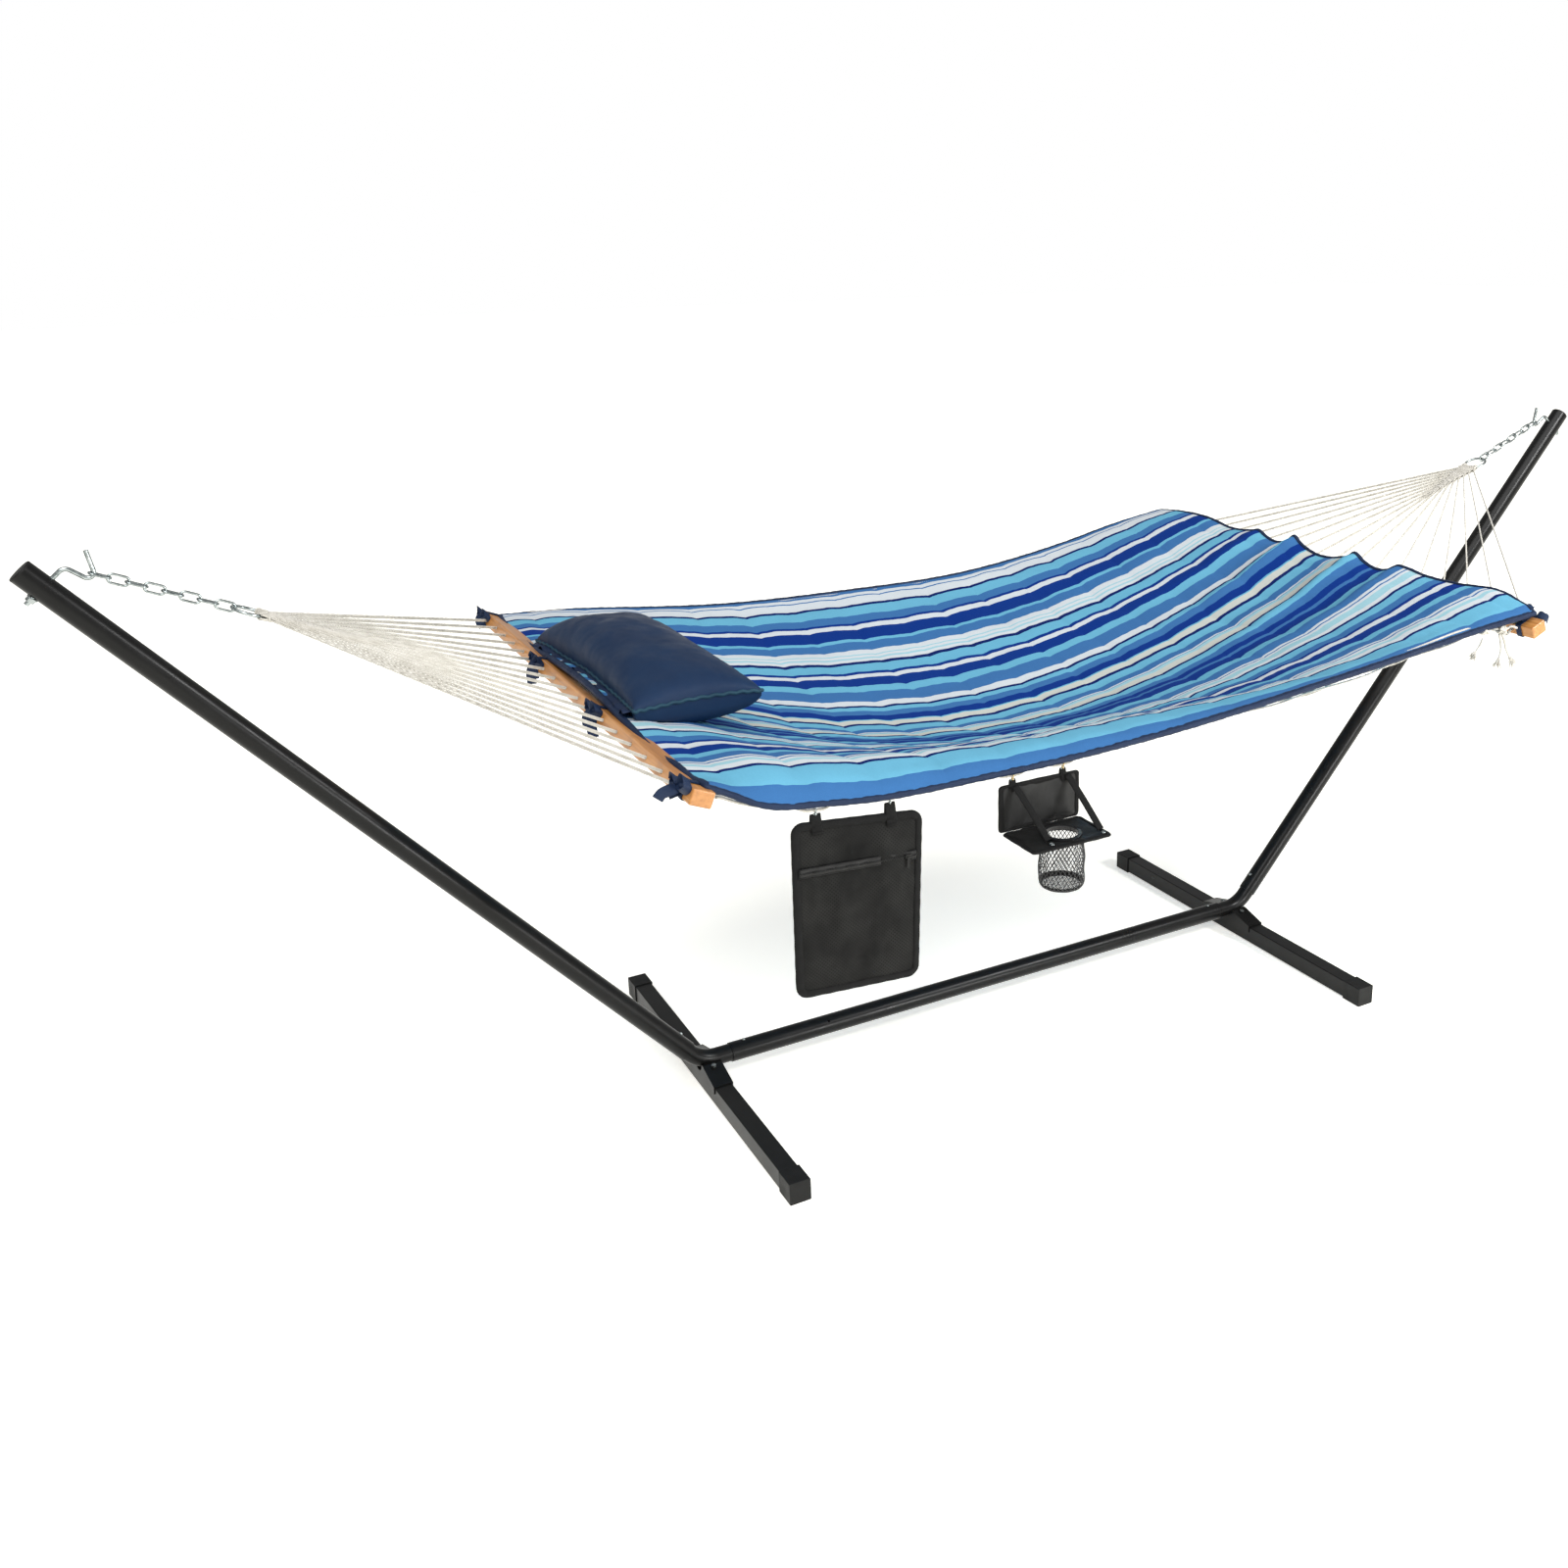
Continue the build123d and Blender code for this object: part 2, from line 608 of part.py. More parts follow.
ZIP_START = Vector(ZIP_ENDS[0][0], -EDGE_Y - BAG_THICK / 2, ZIP_ENDS[0][1])
ZIP_END = Vector(ZIP_ENDS[1][0], -EDGE_Y - BAG_THICK / 2, ZIP_ENDS[1][1])
ZIP_LENGTH = (ZIP_END - ZIP_START).length
ZIP = Plane(origin=ZIP_START, x_dir=ZIP_END - ZIP_START, z_dir=(0, -1, 0))


def zip_bar(start, end, width, low, high):
    """Flat bar along the zip, its height measured out from the bag's face."""
    middle = Pos((start + end) / 2, 0, (low + high) / 2)
    return middle * Box(end - start, width, high - low)


def zipper_track():
    tape = zip_bar(0, ZIP_LENGTH, ZIP_TAPE, 0, ZIP_TAPE_T)
    ridge = zip_bar(2, ZIP_LENGTH - 2, ZIP_RIDGE, ZIP_TAPE_T, ZIP_TAPE_T + ZIP_RIDGE_T)
    return ZIP * (tape + ridge)


def zipper_slider():
    at = ZIP_LENGTH - SLIDER_FROM_END
    top = ZIP_TAPE_T + ZIP_RIDGE_T
    body = zip_bar(at - 6, at + 6, 8, ZIP_TAPE_T + 0.3, top + 1.6)
    body -= zip_bar(at - 7, at + 7, ZIP_RIDGE + 0.6, 0, top + 0.3)
    pull = Pos(at - 1, -10, top + 2.2) * fillet(Box(5, 20, 1.2).edges().filter_by(Axis.Z), 2)
    return ZIP * (body + pull)


def tray_panel():
    width = TRAY_X[1] - TRAY_X[0]
    height = TRAY_Z[1] - TRAY_Z[0]
    panel = fillet(Box(width, TRAY_THICK, height).edges().filter_by(Axis.Y), 6)
    return Pos(sum(TRAY_X) / 2, -EDGE_Y, sum(TRAY_Z) / 2) * panel


def tray_tabs(panel):
    """Webbing tabs that hold the small rings, sewn on the panel's top edge."""
    tabs = []
    for x in TRAY_HANGERS:
        top = ringlet_height(x) - RINGLET_R + 3
        tab = Pos(x, -EDGE_Y - 2, top - TAB_SIZE[2] / 2) * Box(*TAB_SIZE)
        tabs.append(tab - ringlet_groove(x) - panel)
    return tabs


HINGE_Y = -EDGE_Y - TRAY_THICK / 2 - SHELF_HINGE_R - SHELF_HINGE_GAP
HINGE_Z = SHELF_TOP - SHELF_THICK / 2


def tray_shelf():
    """Folding shelf with a hole for the cup; its rolled back hem is the hinge."""
    width = TRAY_X[1] - TRAY_X[0] - 4
    middle_x = sum(TRAY_X) / 2
    depth = SHELF_DEPTH
    plate = Box(width, depth, SHELF_THICK, align=(Align.CENTER, Align.MAX, Align.CENTER))
    plate = fillet(plate.edges().filter_by(Axis.Z).group_by(Axis.Y)[0], 12)
    plate = Pos(middle_x, HINGE_Y, HINGE_Z) * plate
    hem_start = (middle_x - width / 2, HINGE_Y, HINGE_Z)
    hem = rod(hem_start, (middle_x + width / 2, HINGE_Y, HINGE_Z), SHELF_HINGE_R)
    hole = Pos(CUP_CENTRE[0], CUP_CENTRE[1], HINGE_Z) * Cylinder(CUP_RIM_R - 2, 20)
    return plate + hem - hole


def cup_rim():
    """Flanged plastic ring set in the shelf's hole."""
    flange = Pos(0, 0, 1.5) * (Cylinder(CUP_RIM_R, 3) - Cylinder(CUP_INNER_R, 4))
    sleeve = Cylinder(CUP_RIM_R - 2.1, SHELF_THICK) - Cylinder(CUP_INNER_R, 10)
    sleeve = Pos(0, 0, -SHELF_THICK / 2) * sleeve
    return Pos(CUP_CENTRE[0], CUP_CENTRE[1], SHELF_TOP) * (flange + sleeve)


def cup_net():
    """Soft mesh cup under the shelf, open at the top."""
    top = SHELF_TOP - SHELF_THICK
    outline = [(0, CUP_BOTTOM), (CUP_BODY_R - 4, CUP_BOTTOM), (CUP_BODY_R, CUP_BOTTOM + 5)]
    outline += [(CUP_BODY_R - 2, top - 8), (CUP_RIM_R + 1, top)]
    outline += [(CUP_RIM_R + 1 - CUP_WALL, top), (CUP_BODY_R - 2 - CUP_WALL, top - 9)]
    outline += [(CUP_BODY_R - CUP_WALL, CUP_BOTTOM + 6), (CUP_BODY_R - 5, CUP_BOTTOM + CUP_WALL)]
    outline += [(0, CUP_BOTTOM + CUP_WALL)]
    profile = Plane.XZ * make_face(Polyline(*outline, close=True))
    return Pos(CUP_CENTRE[0], CUP_CENTRE[1], 0) * revolve(profile, Axis.Z)


def tray_straps():
    """Webbing from the panel's top to the shelf's front corners."""
    straps = []
    for (top_x, top_z), (low_x, low_y) in TRAY_STRAPS:
        start = Vector(top_x, -EDGE_Y - TRAY_THICK / 2 - 3, top_z)
        end = Vector(low_x, low_y, SHELF_TOP + 2)
        along = end - start
        strap = Box(TRAY_STRAP_WIDTH, TRAY_STRAP_THICK, along.length)
        place = Plane(origin=(start + end) * 0.5, z_dir=along, x_dir=Vector(1, 0, -along.X / along.Z))
        straps.append(place * strap)
    return straps


# ---- write the parts --------------------------------------------------------------------------
def write_stand():
    save("base_tube", base_tube())
    save_pair("elbow", elbow())
    save_pair("arm_tube", arm_tube())
    save_pair("arm_cap", arm_cap())
    save_pair("saddle", saddle())
    for side, end_name in ((-1, "left"), (1, "right")):
        save(f"{end_name}_foot_beam", foot_beam(side))
        save(f"{end_name}_foot_cap_front", foot_cap(side, -1))
        save(f"{end_name}_foot_cap_back", foot_cap(side, 1))
    save("saddle_bolts", *saddle_bolts())
    save("saddle_nuts", *saddle_nuts())
    springs = [plane * button_spring() for plane in (BASE_BUTTON, ARM_BUTTON)]
    save("button_springs", *springs, *[other_side(spring) for spring in springs])
    save_pair("base_button", BASE_BUTTON * snap_button())
    save_pair("arm_button", ARM_BUTTON * snap_button())
    save_pair("hook_bolt", hook_bolt())
    washer = hook_fastener(Circle(9), TUBE_R + 0.5, 1.6)
    nut = hook_fastener(RegularPolygon(7.5, 6), TUBE_R + 2.1, 6.5)
    save("hook_washers", washer, other_side(washer))
    save("hook_nuts", nut, other_side(nut))


def write_hammock():
    for name, pieces in (("chain", chain()), ("clew_strings", clew_strings())):
        save(f"right_{name}", *pieces)
        save(f"left_{name}", *[other_side(piece) for piece in pieces])
    save_pair("ring", ring())
    save_pair("clew_weave", clew_weave())
    save_pair("spreader_bar", spreader_bar())
    save("rope_net", rope_net())
    save("net_edge_cords", edge_cord(-1, PAD_FRONT), edge_cord(1, PAD_BACK))
    save("net_knots", *net_knots())
    pad = bed_pad()
    save("bed_pad", pad)
    save("pad_ties", *pad_ties())
    save("pillow", pillow(pad))
    for number, points in enumerate(TAILS, 1):
        save(f"rope_tail_{number}", cord(points, TAIL_R))


def write_bag():
    save("bag_body", bag_body())
    save("bag_straps", *bag_straps())
    save("bag_hooks", *[hanger(x) for x in BAG_HANGERS])
    save("bag_rings", *[ringlet(x) for x in BAG_HANGERS])
    save("zipper_track", zipper_track())
    save("zipper_slider", zipper_slider())


def write_tray():
    panel = tray_panel()
    save("tray_panel", panel)
    save("tray_tabs", *tray_tabs(panel))
    save("tray_hooks", *[hanger(x) for x in TRAY_HANGERS])
    save("tray_rings", *[ringlet(x) for x in TRAY_HANGERS])
    save("tray_shelf", tray_shelf())
    save("cup_rim", cup_rim())
    save("cup_net", cup_net())
    save("tray_straps", *tray_straps())


os.makedirs("parts", exist_ok=True)
write_stand()
write_hammock()
write_bag()
write_tray()
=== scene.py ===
import math

import bpy
import numpy as np
from mathutils import Matrix, Vector


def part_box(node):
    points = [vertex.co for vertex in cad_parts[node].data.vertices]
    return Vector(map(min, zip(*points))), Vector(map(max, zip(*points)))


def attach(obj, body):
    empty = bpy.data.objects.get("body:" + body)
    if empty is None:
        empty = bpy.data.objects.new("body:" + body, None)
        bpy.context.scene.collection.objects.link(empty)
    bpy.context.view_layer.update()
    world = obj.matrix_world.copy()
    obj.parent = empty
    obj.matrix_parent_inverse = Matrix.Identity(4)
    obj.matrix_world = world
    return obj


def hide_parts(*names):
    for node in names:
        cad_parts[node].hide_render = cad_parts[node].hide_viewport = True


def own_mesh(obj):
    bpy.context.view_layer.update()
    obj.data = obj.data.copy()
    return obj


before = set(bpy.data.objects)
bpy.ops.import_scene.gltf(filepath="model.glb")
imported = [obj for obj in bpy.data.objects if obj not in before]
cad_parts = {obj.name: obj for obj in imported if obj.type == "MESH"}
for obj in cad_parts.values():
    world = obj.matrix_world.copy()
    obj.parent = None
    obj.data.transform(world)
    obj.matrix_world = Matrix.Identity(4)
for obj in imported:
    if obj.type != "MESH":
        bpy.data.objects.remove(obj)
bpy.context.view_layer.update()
scene = bpy.context.scene
scene.view_settings.view_transform = "Standard"
SIDES = ("left", "right")
ACROSS = np.array((0, 1.0, 0))
UP = np.array((0, 0, 1.0))


# ---- camera, light and floor --------------------------------------------------------------------
def make_camera():
    """Camera, from its azimuth (from +Y towards +X), its tilt down and a small roll."""
    azimuth, tilt, roll = (math.radians(a) for a in (28.943, 16.365, -0.9065))
    flat = math.cos(tilt)
    forward = Vector((math.sin(azimuth) * flat, math.cos(azimuth) * flat, -math.sin(tilt)))
    level = Vector((math.cos(azimuth), -math.sin(azimuth), 0))
    above = level.cross(forward)
    right = level * math.cos(roll) + above * math.sin(roll)
    up = -level * math.sin(roll) + above * math.cos(roll)
    data = bpy.data.cameras.new("camera")
    data.sensor_width = 36
    data.lens = 33.54
    data.shift_x = -0.0844
    data.shift_y = -0.0716
    data.clip_end = 100
    camera = bpy.data.objects.new("camera", data)
    axes = Matrix((right, up, -forward)).transposed().to_4x4()
    camera.matrix_world = Matrix.Translation((-1.6712, -2.6555, 1.7376)) @ axes
    scene.collection.objects.link(camera)
    scene.camera = camera


def area_light(name, place, target, size, power):
    data = bpy.data.lights.new(name, "AREA")
    data.shape = "DISK"
    data.size = size
    data.energy = power
    lamp = bpy.data.objects.new(name, data)
    lamp.location = place
    lamp.rotation_euler = (Vector(target) - Vector(place)).to_track_quat("-Z", "Y").to_euler()
    scene.collection.objects.link(lamp)


def make_studio():
    """White surround behind the object, a dimmer one in reflections, a wide sun and three disks."""
    world = bpy.data.worlds.new("studio")
    world.use_nodes = True
    tree = world.node_tree
    seen = tree.nodes["Background"]
    around = tree.nodes.new("ShaderNodeBackground")
    for surround, strength in ((seen, 1.0), (around, 0.42)):
        surround.inputs["Color"].default_value = (1, 1, 1, 1)
        surround.inputs["Strength"].default_value = strength
    path = tree.nodes.new("ShaderNodeLightPath")
    mix = tree.nodes.new("ShaderNodeMixShader")
    tree.links.new(path.outputs["Is Camera Ray"], mix.inputs["Fac"])
    tree.links.new(around.outputs[0], mix.inputs[1])
    tree.links.new(seen.outputs[0], mix.inputs[2])
    tree.links.new(mix.outputs[0], tree.nodes["World Output"].inputs["Surface"])
    scene.world = world
    sun = bpy.data.lights.new("sun", "SUN")
    sun.energy = 2.0
    sun.angle = math.radians(50)
    lamp = bpy.data.objects.new("sun", sun)
    lamp.rotation_euler = (math.radians(24), math.radians(-14), 0)
    scene.collection.objects.link(lamp)
    area_light("key", (-2.6, -3.6, 3.6), (0, 0, 0.7), 1.2, 60)
    area_light("front_low", (1.7, -4.4, 0.75), (-0.6, 0, 0.6), 0.7, 75)
    area_light("front_high", (2.1, -2.7, 2.7), (0, 0, 0.2), 0.7, 80)


make_camera()
make_studio()


# ---- materials ----------------------------------------------------------------------------------
class Paint:
    """A procedural material. Its patterns lie in the row frame, in metres."""

    def __init__(self, name, colour, rough, **sockets):
        self.material = bpy.data.materials.new(name)
        self.material.use_nodes = True
        self.tree = self.material.node_tree
        self.shader = self.tree.nodes["Principled BSDF"]
        self.place = self.tree.nodes.new("ShaderNodeTexCoord").outputs["Object"]
        self.plug(self.shader.inputs["Base Color"], colour)
        self.plug(self.shader.inputs["Roughness"], rough)
        for socket, value in sockets.items():
            self.plug(self.shader.inputs[socket.replace("_", " ")], value)

    def plug(self, socket, value):
        if isinstance(value, bpy.types.NodeSocket):
            self.tree.links.new(value, socket)
        elif isinstance(value, tuple) and len(value) == 3 and socket.type == "RGBA":
            socket.default_value = (*value, 1)
        else:
            socket.default_value = value

    def add(self, kind, inputs, **settings):
        made = self.tree.nodes.new("ShaderNode" + kind)
        for key, value in settings.items():
            setattr(made, key, value)
        for key, value in inputs.items():
            self.plug(made.inputs[key], value)
        return made

    def at(self, stretch=(1, 1, 1), turn=(0, 0, 0)):
        return self.add("Mapping", {"Vector": self.place, "Scale": stretch, "Rotation": turn}).outputs[0]

    def noise(self, scale, detail=2.0, stretch=(1, 1, 1), rough=0.5):
        inputs = {"Vector": self.at(stretch), "Scale": scale, "Detail": detail, "Roughness": rough}
        return self.add("TexNoise", inputs).outputs["Fac"]

    def bands(self, scale, axis="X", bend=0.0, turn=(0, 0, 0)):
        inputs = {"Vector": self.at(turn=turn), "Scale": scale, "Distortion": bend}
        return self.add("TexWave", inputs, bands_direction=axis).outputs["Fac"]

    def sum(self, how, a, b):
        return self.add("Math", {0: a, 1: b}, operation=how).outputs[0]

    def axis(self, which):
        return self.add("SeparateXYZ", {0: self.place}).outputs[which]

    def fit(self, value, low, high, to_low=0.0, to_high=1.0):
        inputs = {"Value": value, "From Min": low, "From Max": high, "To Min": to_low, "To Max": to_high}
        return self.add("MapRange", inputs).outputs["Result"]

    def blend(self, share, a, b):
        made = self.tree.nodes.new("ShaderNodeMix")
        made.data_type = "RGBA"
        self.plug(made.inputs["Factor"], share)
        self.plug(made.inputs[6], a)
        self.plug(made.inputs[7], b)
        return made.outputs[2]

    def ramp(self, value, stops, how="LINEAR"):
        made = self.add("ValToRGB", {"Fac": value})
        elements = made.color_ramp.elements
        made.color_ramp.interpolation = how
        while len(elements) < len(stops):
            elements.new(0.5)
        for element, (where, colour) in zip(elements, stops):
            element.position = where
            element.color = (*colour, 1)
        return made.outputs["Color"]

    def colour(self, value):
        self.plug(self.shader.inputs["Base Color"], value)

    def rough(self, value):
        self.plug(self.shader.inputs["Roughness"], value)

    def bump(self, height, strength, depth):
        made = self.add("Bump", {"Height": height, "Strength": strength, "Distance": depth})
        last = self.shader.inputs["Normal"]
        if last.is_linked:
            self.plug(made.inputs["Normal"], last.links[0].from_socket)
        self.plug(last, made.outputs["Normal"])


def painted_steel():
    p = Paint("painted_steel", (0.006, 0.006, 0.006), 0.32, Specular_IOR_Level=0.2)
    p.bump(p.noise(900, 3), 0.12, 0.0004)
    p.bump(p.noise(60, 2), 0.05, 0.001)
    p.rough(p.fit(p.noise(14, 4), 0.3, 0.7, 0.27, 0.36))
    p.colour(p.blend(p.noise(25, 4), (0.003, 0.003, 0.0029), (0.006, 0.006, 0.0058)))
    return p.material


def moulded_plastic():
    p = Paint("moulded_plastic", (0.006, 0.006, 0.006), 0.42, Specular_IOR_Level=0.2)
    p.bump(p.noise(1500, 2), 0.25, 0.0004)
    p.rough(p.fit(p.noise(30, 3), 0.3, 0.7, 0.42, 0.6))
    p.colour(p.blend(p.noise(40, 3), (0.004, 0.004, 0.0039), (0.008, 0.008, 0.0078)))
    return p.material


def zinc_plate(name="zinc_plate", light=(0.44, 0.48, 0.48), dark=(0.20, 0.23, 0.23)):
    p = Paint(name, light, 0.3, Metallic=1.0)
    p.colour(p.blend(p.fit(p.noise(120, 4), 0.35, 0.7), light, dark))
    p.rough(p.fit(p.noise(260, 3), 0.3, 0.7, 0.18, 0.38))
    p.bump(p.noise(700, 2), 0.08, 0.0003)
    return p.material


def bamboo():
    p = Paint("bamboo", (0.6, 0.3, 0.1), 0.36, Coat_Weight=0.35, Coat_Roughness=0.25)
    streak = p.noise(150, 5, (1, 0.03, 1), 0.6)
    shades = [(0.25, (0.25, 0.095, 0.020)), (0.5, (0.48, 0.205, 0.050)), (0.75, (0.60, 0.30, 0.095))]
    base = p.ramp(streak, shades)
    knots = p.fit(p.bands(2.1, "Y", 1.4), 0.93, 1.0)
    base = p.blend(p.sum("MULTIPLY", knots, 0.45), base, (0.30, 0.12, 0.03))
    strips = p.fit(p.bands(60, "Z", 0.0), 0.94, 1.0)
    base = p.blend(p.sum("MULTIPLY", strips, 0.5), base, (0.33, 0.14, 0.04))
    blotch = p.blend(p.fit(p.noise(9, 3), 0.35, 0.75), base, p.blend(0.5, base, (0.35, 0.15, 0.04)))
    p.colour(blotch)
    p.rough(p.fit(streak, 0.2, 0.8, 0.28, 0.5))
    p.bump(streak, 0.15, 0.0005)
    return p.material


def cotton_rope():
    p = Paint("cotton_rope", (0.66, 0.64, 0.59), 0.88, Sheen_Weight=0.15, Sheen_Roughness=0.6)
    fibre = p.noise(1400, 3, (1, 1, 0.25))
    shades = [(0.3, (0.44, 0.42, 0.37)), (0.55, (0.55, 0.53, 0.48)), (0.8, (0.64, 0.62, 0.58))]
    tone = p.ramp(p.noise(55, 4), shades)
    p.colour(p.blend(p.fit(fibre, 0.3, 0.62, 0.0, 0.35), tone, (0.33, 0.30, 0.25)))
    p.bump(fibre, 0.45, 0.0005)
    return p.material


# Stripes of the pad across its width, from the back edge to the front: colour and width in mm.
STRIPES = (
    ("steel", 12), ("white", 14), ("steel", 5), ("white", 30), ("navy", 9), ("aqua", 34), ("steel", 27),
    ("royal", 11), ("white", 17), ("royal", 44), ("aqua", 12), ("steel", 34), ("white", 18), ("mist", 5),
    ("white", 10), ("mist", 5), ("white", 12), ("navy", 11), ("aqua", 36), ("royal", 10), ("white", 16),
    ("royal", 37), ("aqua", 27), ("steel", 47), ("white", 22), ("navy", 9), ("aqua", 20), ("steel", 21),
    ("royal", 27), ("aqua", 5), ("cream", 20), ("navy", 11), ("aqua", 31), ("steel", 27), ("white", 6),
    ("steel", 3), ("mist", 14), ("cream", 24), ("navy", 10), ("aqua", 24), ("steel", 24), ("royal", 20),
    ("steel", 10), ("royal", 33), ("aqua", 28), ("steel", 33), ("white", 10), ("steel", 4), ("white", 8),
    ("mist", 22), ("white", 14), ("navy", 9), ("aqua", 27), ("steel", 23), ("royal", 13), ("white", 18),
    ("royal", 33), ("aqua", 23), ("steel", 34), ("white", 9), ("steel", 5), ("white", 10), ("mist", 12),
    ("white", 17), ("navy", 9), ("aqua", 52), ("steel", 20),
)
DYES = {
    "steel": (0.036, 0.130, 0.315),
    "white": (0.52, 0.56, 0.585),
    "cream": (0.47, 0.49, 0.45),
    "mist": (0.29, 0.49, 0.55),
    "navy": (0.0, 0.009, 0.09),
    "aqua": (0.115, 0.355, 0.50),
    "royal": (0.0, 0.024, 0.18),
}
RAMP_STOPS = 30


def striped_cloth():
    """Polyester with lengthwise stripes. A colour ramp holds at most 32 stops, so three share the width."""
    p = Paint("striped_cloth", (0.5, 0.5, 0.5), 0.85, Specular_IOR_Level=0.12)
    total = sum(width for _, width in STRIPES)
    edges = np.cumsum([0] + [width for _, width in STRIPES]) / total
    wobble = p.fit(p.noise(17, 3, (1, 0.6, 1)), 0.25, 0.75, -0.0022, 0.0022)
    half = total / 2000
    across = p.sum("ADD", p.fit(p.axis("Y"), half, -half), wobble)
    shown = None
    for first in range(0, len(STRIPES), RAMP_STOPS):
        last = min(first + RAMP_STOPS, len(STRIPES))
        low, high = edges[first], edges[last]
        stops = [((edges[i] - low) / (high - low), DYES[STRIPES[i][0]]) for i in range(first, last)]
        part = p.ramp(p.fit(across, float(low), float(high)), stops, "CONSTANT")
        if shown is None:
            shown = part
        else:
            shown = p.blend(p.sum("GREATER_THAN", across, float(low)), shown, part)
    yarn = p.noise(1500, 2, (0.5, 1, 0.5))
    shown = p.blend(p.fit(yarn, 0.35, 0.65, 0.0, 0.10), shown, (0.01, 0.025, 0.10))
    shown = p.blend(p.fit(p.noise(6, 4), 0.4, 0.8, 0.0, 0.07), shown, (0.02, 0.05, 0.14))
    p.colour(shown)
    weave = p.sum("MULTIPLY", p.bands(420, "X"), p.bands(420, "Y"))
    p.bump(weave, 0.25, 0.0004)
    p.bump(p.noise(70, 3, (1.6, 0.5, 1)), 0.35, 0.003)
    return p.material


def navy_cloth(name, dark, light, weave=700):
    p = Paint(name, dark, 0.5, Specular_IOR_Level=0.2)
    p.colour(p.blend(p.fit(p.noise(12, 4), 0.3, 0.75), dark, light))
    threads = p.sum("MULTIPLY", p.bands(weave, "X"), p.bands(weave, "Y"))
    p.bump(threads, 0.3, 0.0004)
    p.bump(p.noise(35, 3), 0.12, 0.003)
    p.rough(p.fit(p.noise(20, 3), 0.3, 0.7, 0.42, 0.6))
    return p.material


def black_webbing():
    p = Paint("black_webbing", (0.012, 0.012, 0.013), 0.75, Specular_IOR_Level=0.15)
    ribs = p.sum("MULTIPLY", p.bands(320, "X", 0.2), p.bands(220, "Z", 0.2))
    p.colour(p.blend(ribs, (0.004, 0.004, 0.004), (0.013, 0.013, 0.013)))
    p.bump(ribs, 0.6, 0.0007)
    return p.material


def black_mesh():
    """Knitted polyester mesh: small holes in rows, every second row half a step over, painted near black as
    the shade seen through them.
    """
    p = Paint("black_mesh", (0.02, 0.02, 0.022), 0.7, Specular_IOR_Level=0.12)
    across = p.bands(95, "X")
    down = p.bands(95, "Z")
    slant = p.bands(67, "X", turn=(0, math.radians(45), 0))
    other = p.bands(67, "X", turn=(0, math.radians(-45), 0))
    holes = p.sum("MULTIPLY", slant, other)
    lines = p.sum("MULTIPLY", across, down)
    tone = p.sum("MAXIMUM", holes, p.sum("MULTIPLY", lines, 0.4))
    # Painted shade: large noise patches darken the mesh about tenfold, standing in for shade in its folds.
    fold_shade = p.noise(14, 4)
    tone_with_fold_shade = p.blend(p.fit(fold_shade, 0.35, 0.7), (0.013, 0.013, 0.0122), (0.0012, 0.0012, 0.0012))
    # Painted shade: holes, and faintly the knit rows, are painted near black for the shade seen through the
    # mesh.
    p.colour(p.blend(p.fit(tone, 0.25, 0.6), tone_with_fold_shade, (0.003, 0.003, 0.003)))
    p.bump(tone, -0.5, 0.0006)
    p.bump(p.noise(30, 3), 0.3, 0.004)
    return p.material


def black_nylon():
    """Coated nylon with a fine ripstop grid."""
    p = Paint("black_nylon", (0.02, 0.02, 0.022), 0.42, Specular_IOR_Level=0.25)
    grid = p.sum("MAXIMUM", p.bands(160, "X"), p.bands(160, "Z"))
    p.colour(p.blend(p.fit(grid, 0.8, 1.0), (0.009, 0.009, 0.0087), (0.004, 0.004, 0.004)))
    p.bump(grid, 0.4, 0.0006)
    p.rough(p.fit(p.noise(30, 3), 0.3, 0.7, 0.34, 0.55))
    return p.material


def brass_wire():
    p = Paint("brass_wire", (0.78, 0.56, 0.24), 0.25, Metallic=1.0)
    p.colour(p.blend(p.noise(150, 3), (0.80, 0.60, 0.28), (0.60, 0.42, 0.18)))
    p.rough(p.fit(p.noise(300, 2), 0.3, 0.7, 0.18, 0.36))
    return p.material


def gloss_plastic():
    p = Paint("gloss_plastic", (0.010, 0.010, 0.011), 0.14)
    p.rough(p.fit(p.noise(60, 3), 0.3, 0.7, 0.10, 0.22))
    p.bump(p.noise(500, 2), 0.04, 0.0003)
    return p.material


def mesh_thread():
    p = Paint("mesh_thread", (0.016, 0.016, 0.017), 0.5)
    p.colour(p.blend(p.noise(300, 3), (0.010, 0.010, 0.011), (0.030, 0.030, 0.032)))
    p.bump(p.noise(3000, 2), 0.2, 0.0002)
    return p.material


def pale_floor():
    p = Paint("pale_floor", (0.95, 0.95, 0.95), 0.9, Specular_IOR_Level=0.1, Emission_Strength=0.46)
    p.shader.inputs["Emission Color"].default_value = (1, 0.985, 0.95, 1)
    p.colour(p.blend(p.noise(3, 3), (0.96, 0.95, 0.88), (0.97, 0.96, 0.89)))
    return p.material


PAINT = {
    "steel": painted_steel(),
    "plastic": moulded_plastic(),
    "zinc": zinc_plate(),
    "spring": zinc_plate("spring_steel", (0.45, 0.47, 0.48), (0.30, 0.32, 0.33)),
    "bamboo": bamboo(),
    "rope": cotton_rope(),
    "stripes": striped_cloth(),
    "pillow": navy_cloth("pillow_cloth", (0.003, 0.016, 0.050), (0.005, 0.022, 0.062)),
    "binding": navy_cloth("binding_tape", (0.005, 0.013, 0.040), (0.009, 0.021, 0.055), 900),
    # Piping cloth in dark teal, blended by noise with a lighter teal that is painted highlight along the
    # seam.
    "piping": navy_cloth("seam_piping_with_highlight", (0.004, 0.024, 0.046), (0.018, 0.060, 0.090), 900),
    "webbing": black_webbing(),
    "mesh": black_mesh(),
    "nylon": black_nylon(),
    "brass": brass_wire(),
    "gloss": gloss_plastic(),
    "thread": mesh_thread(),
    "floor": pale_floor(),
}


def both(*parts):
    """The names of parts that both ends of the stand and hammock have."""
    return [f"{side}_{part}" for side in SIDES for part in parts]


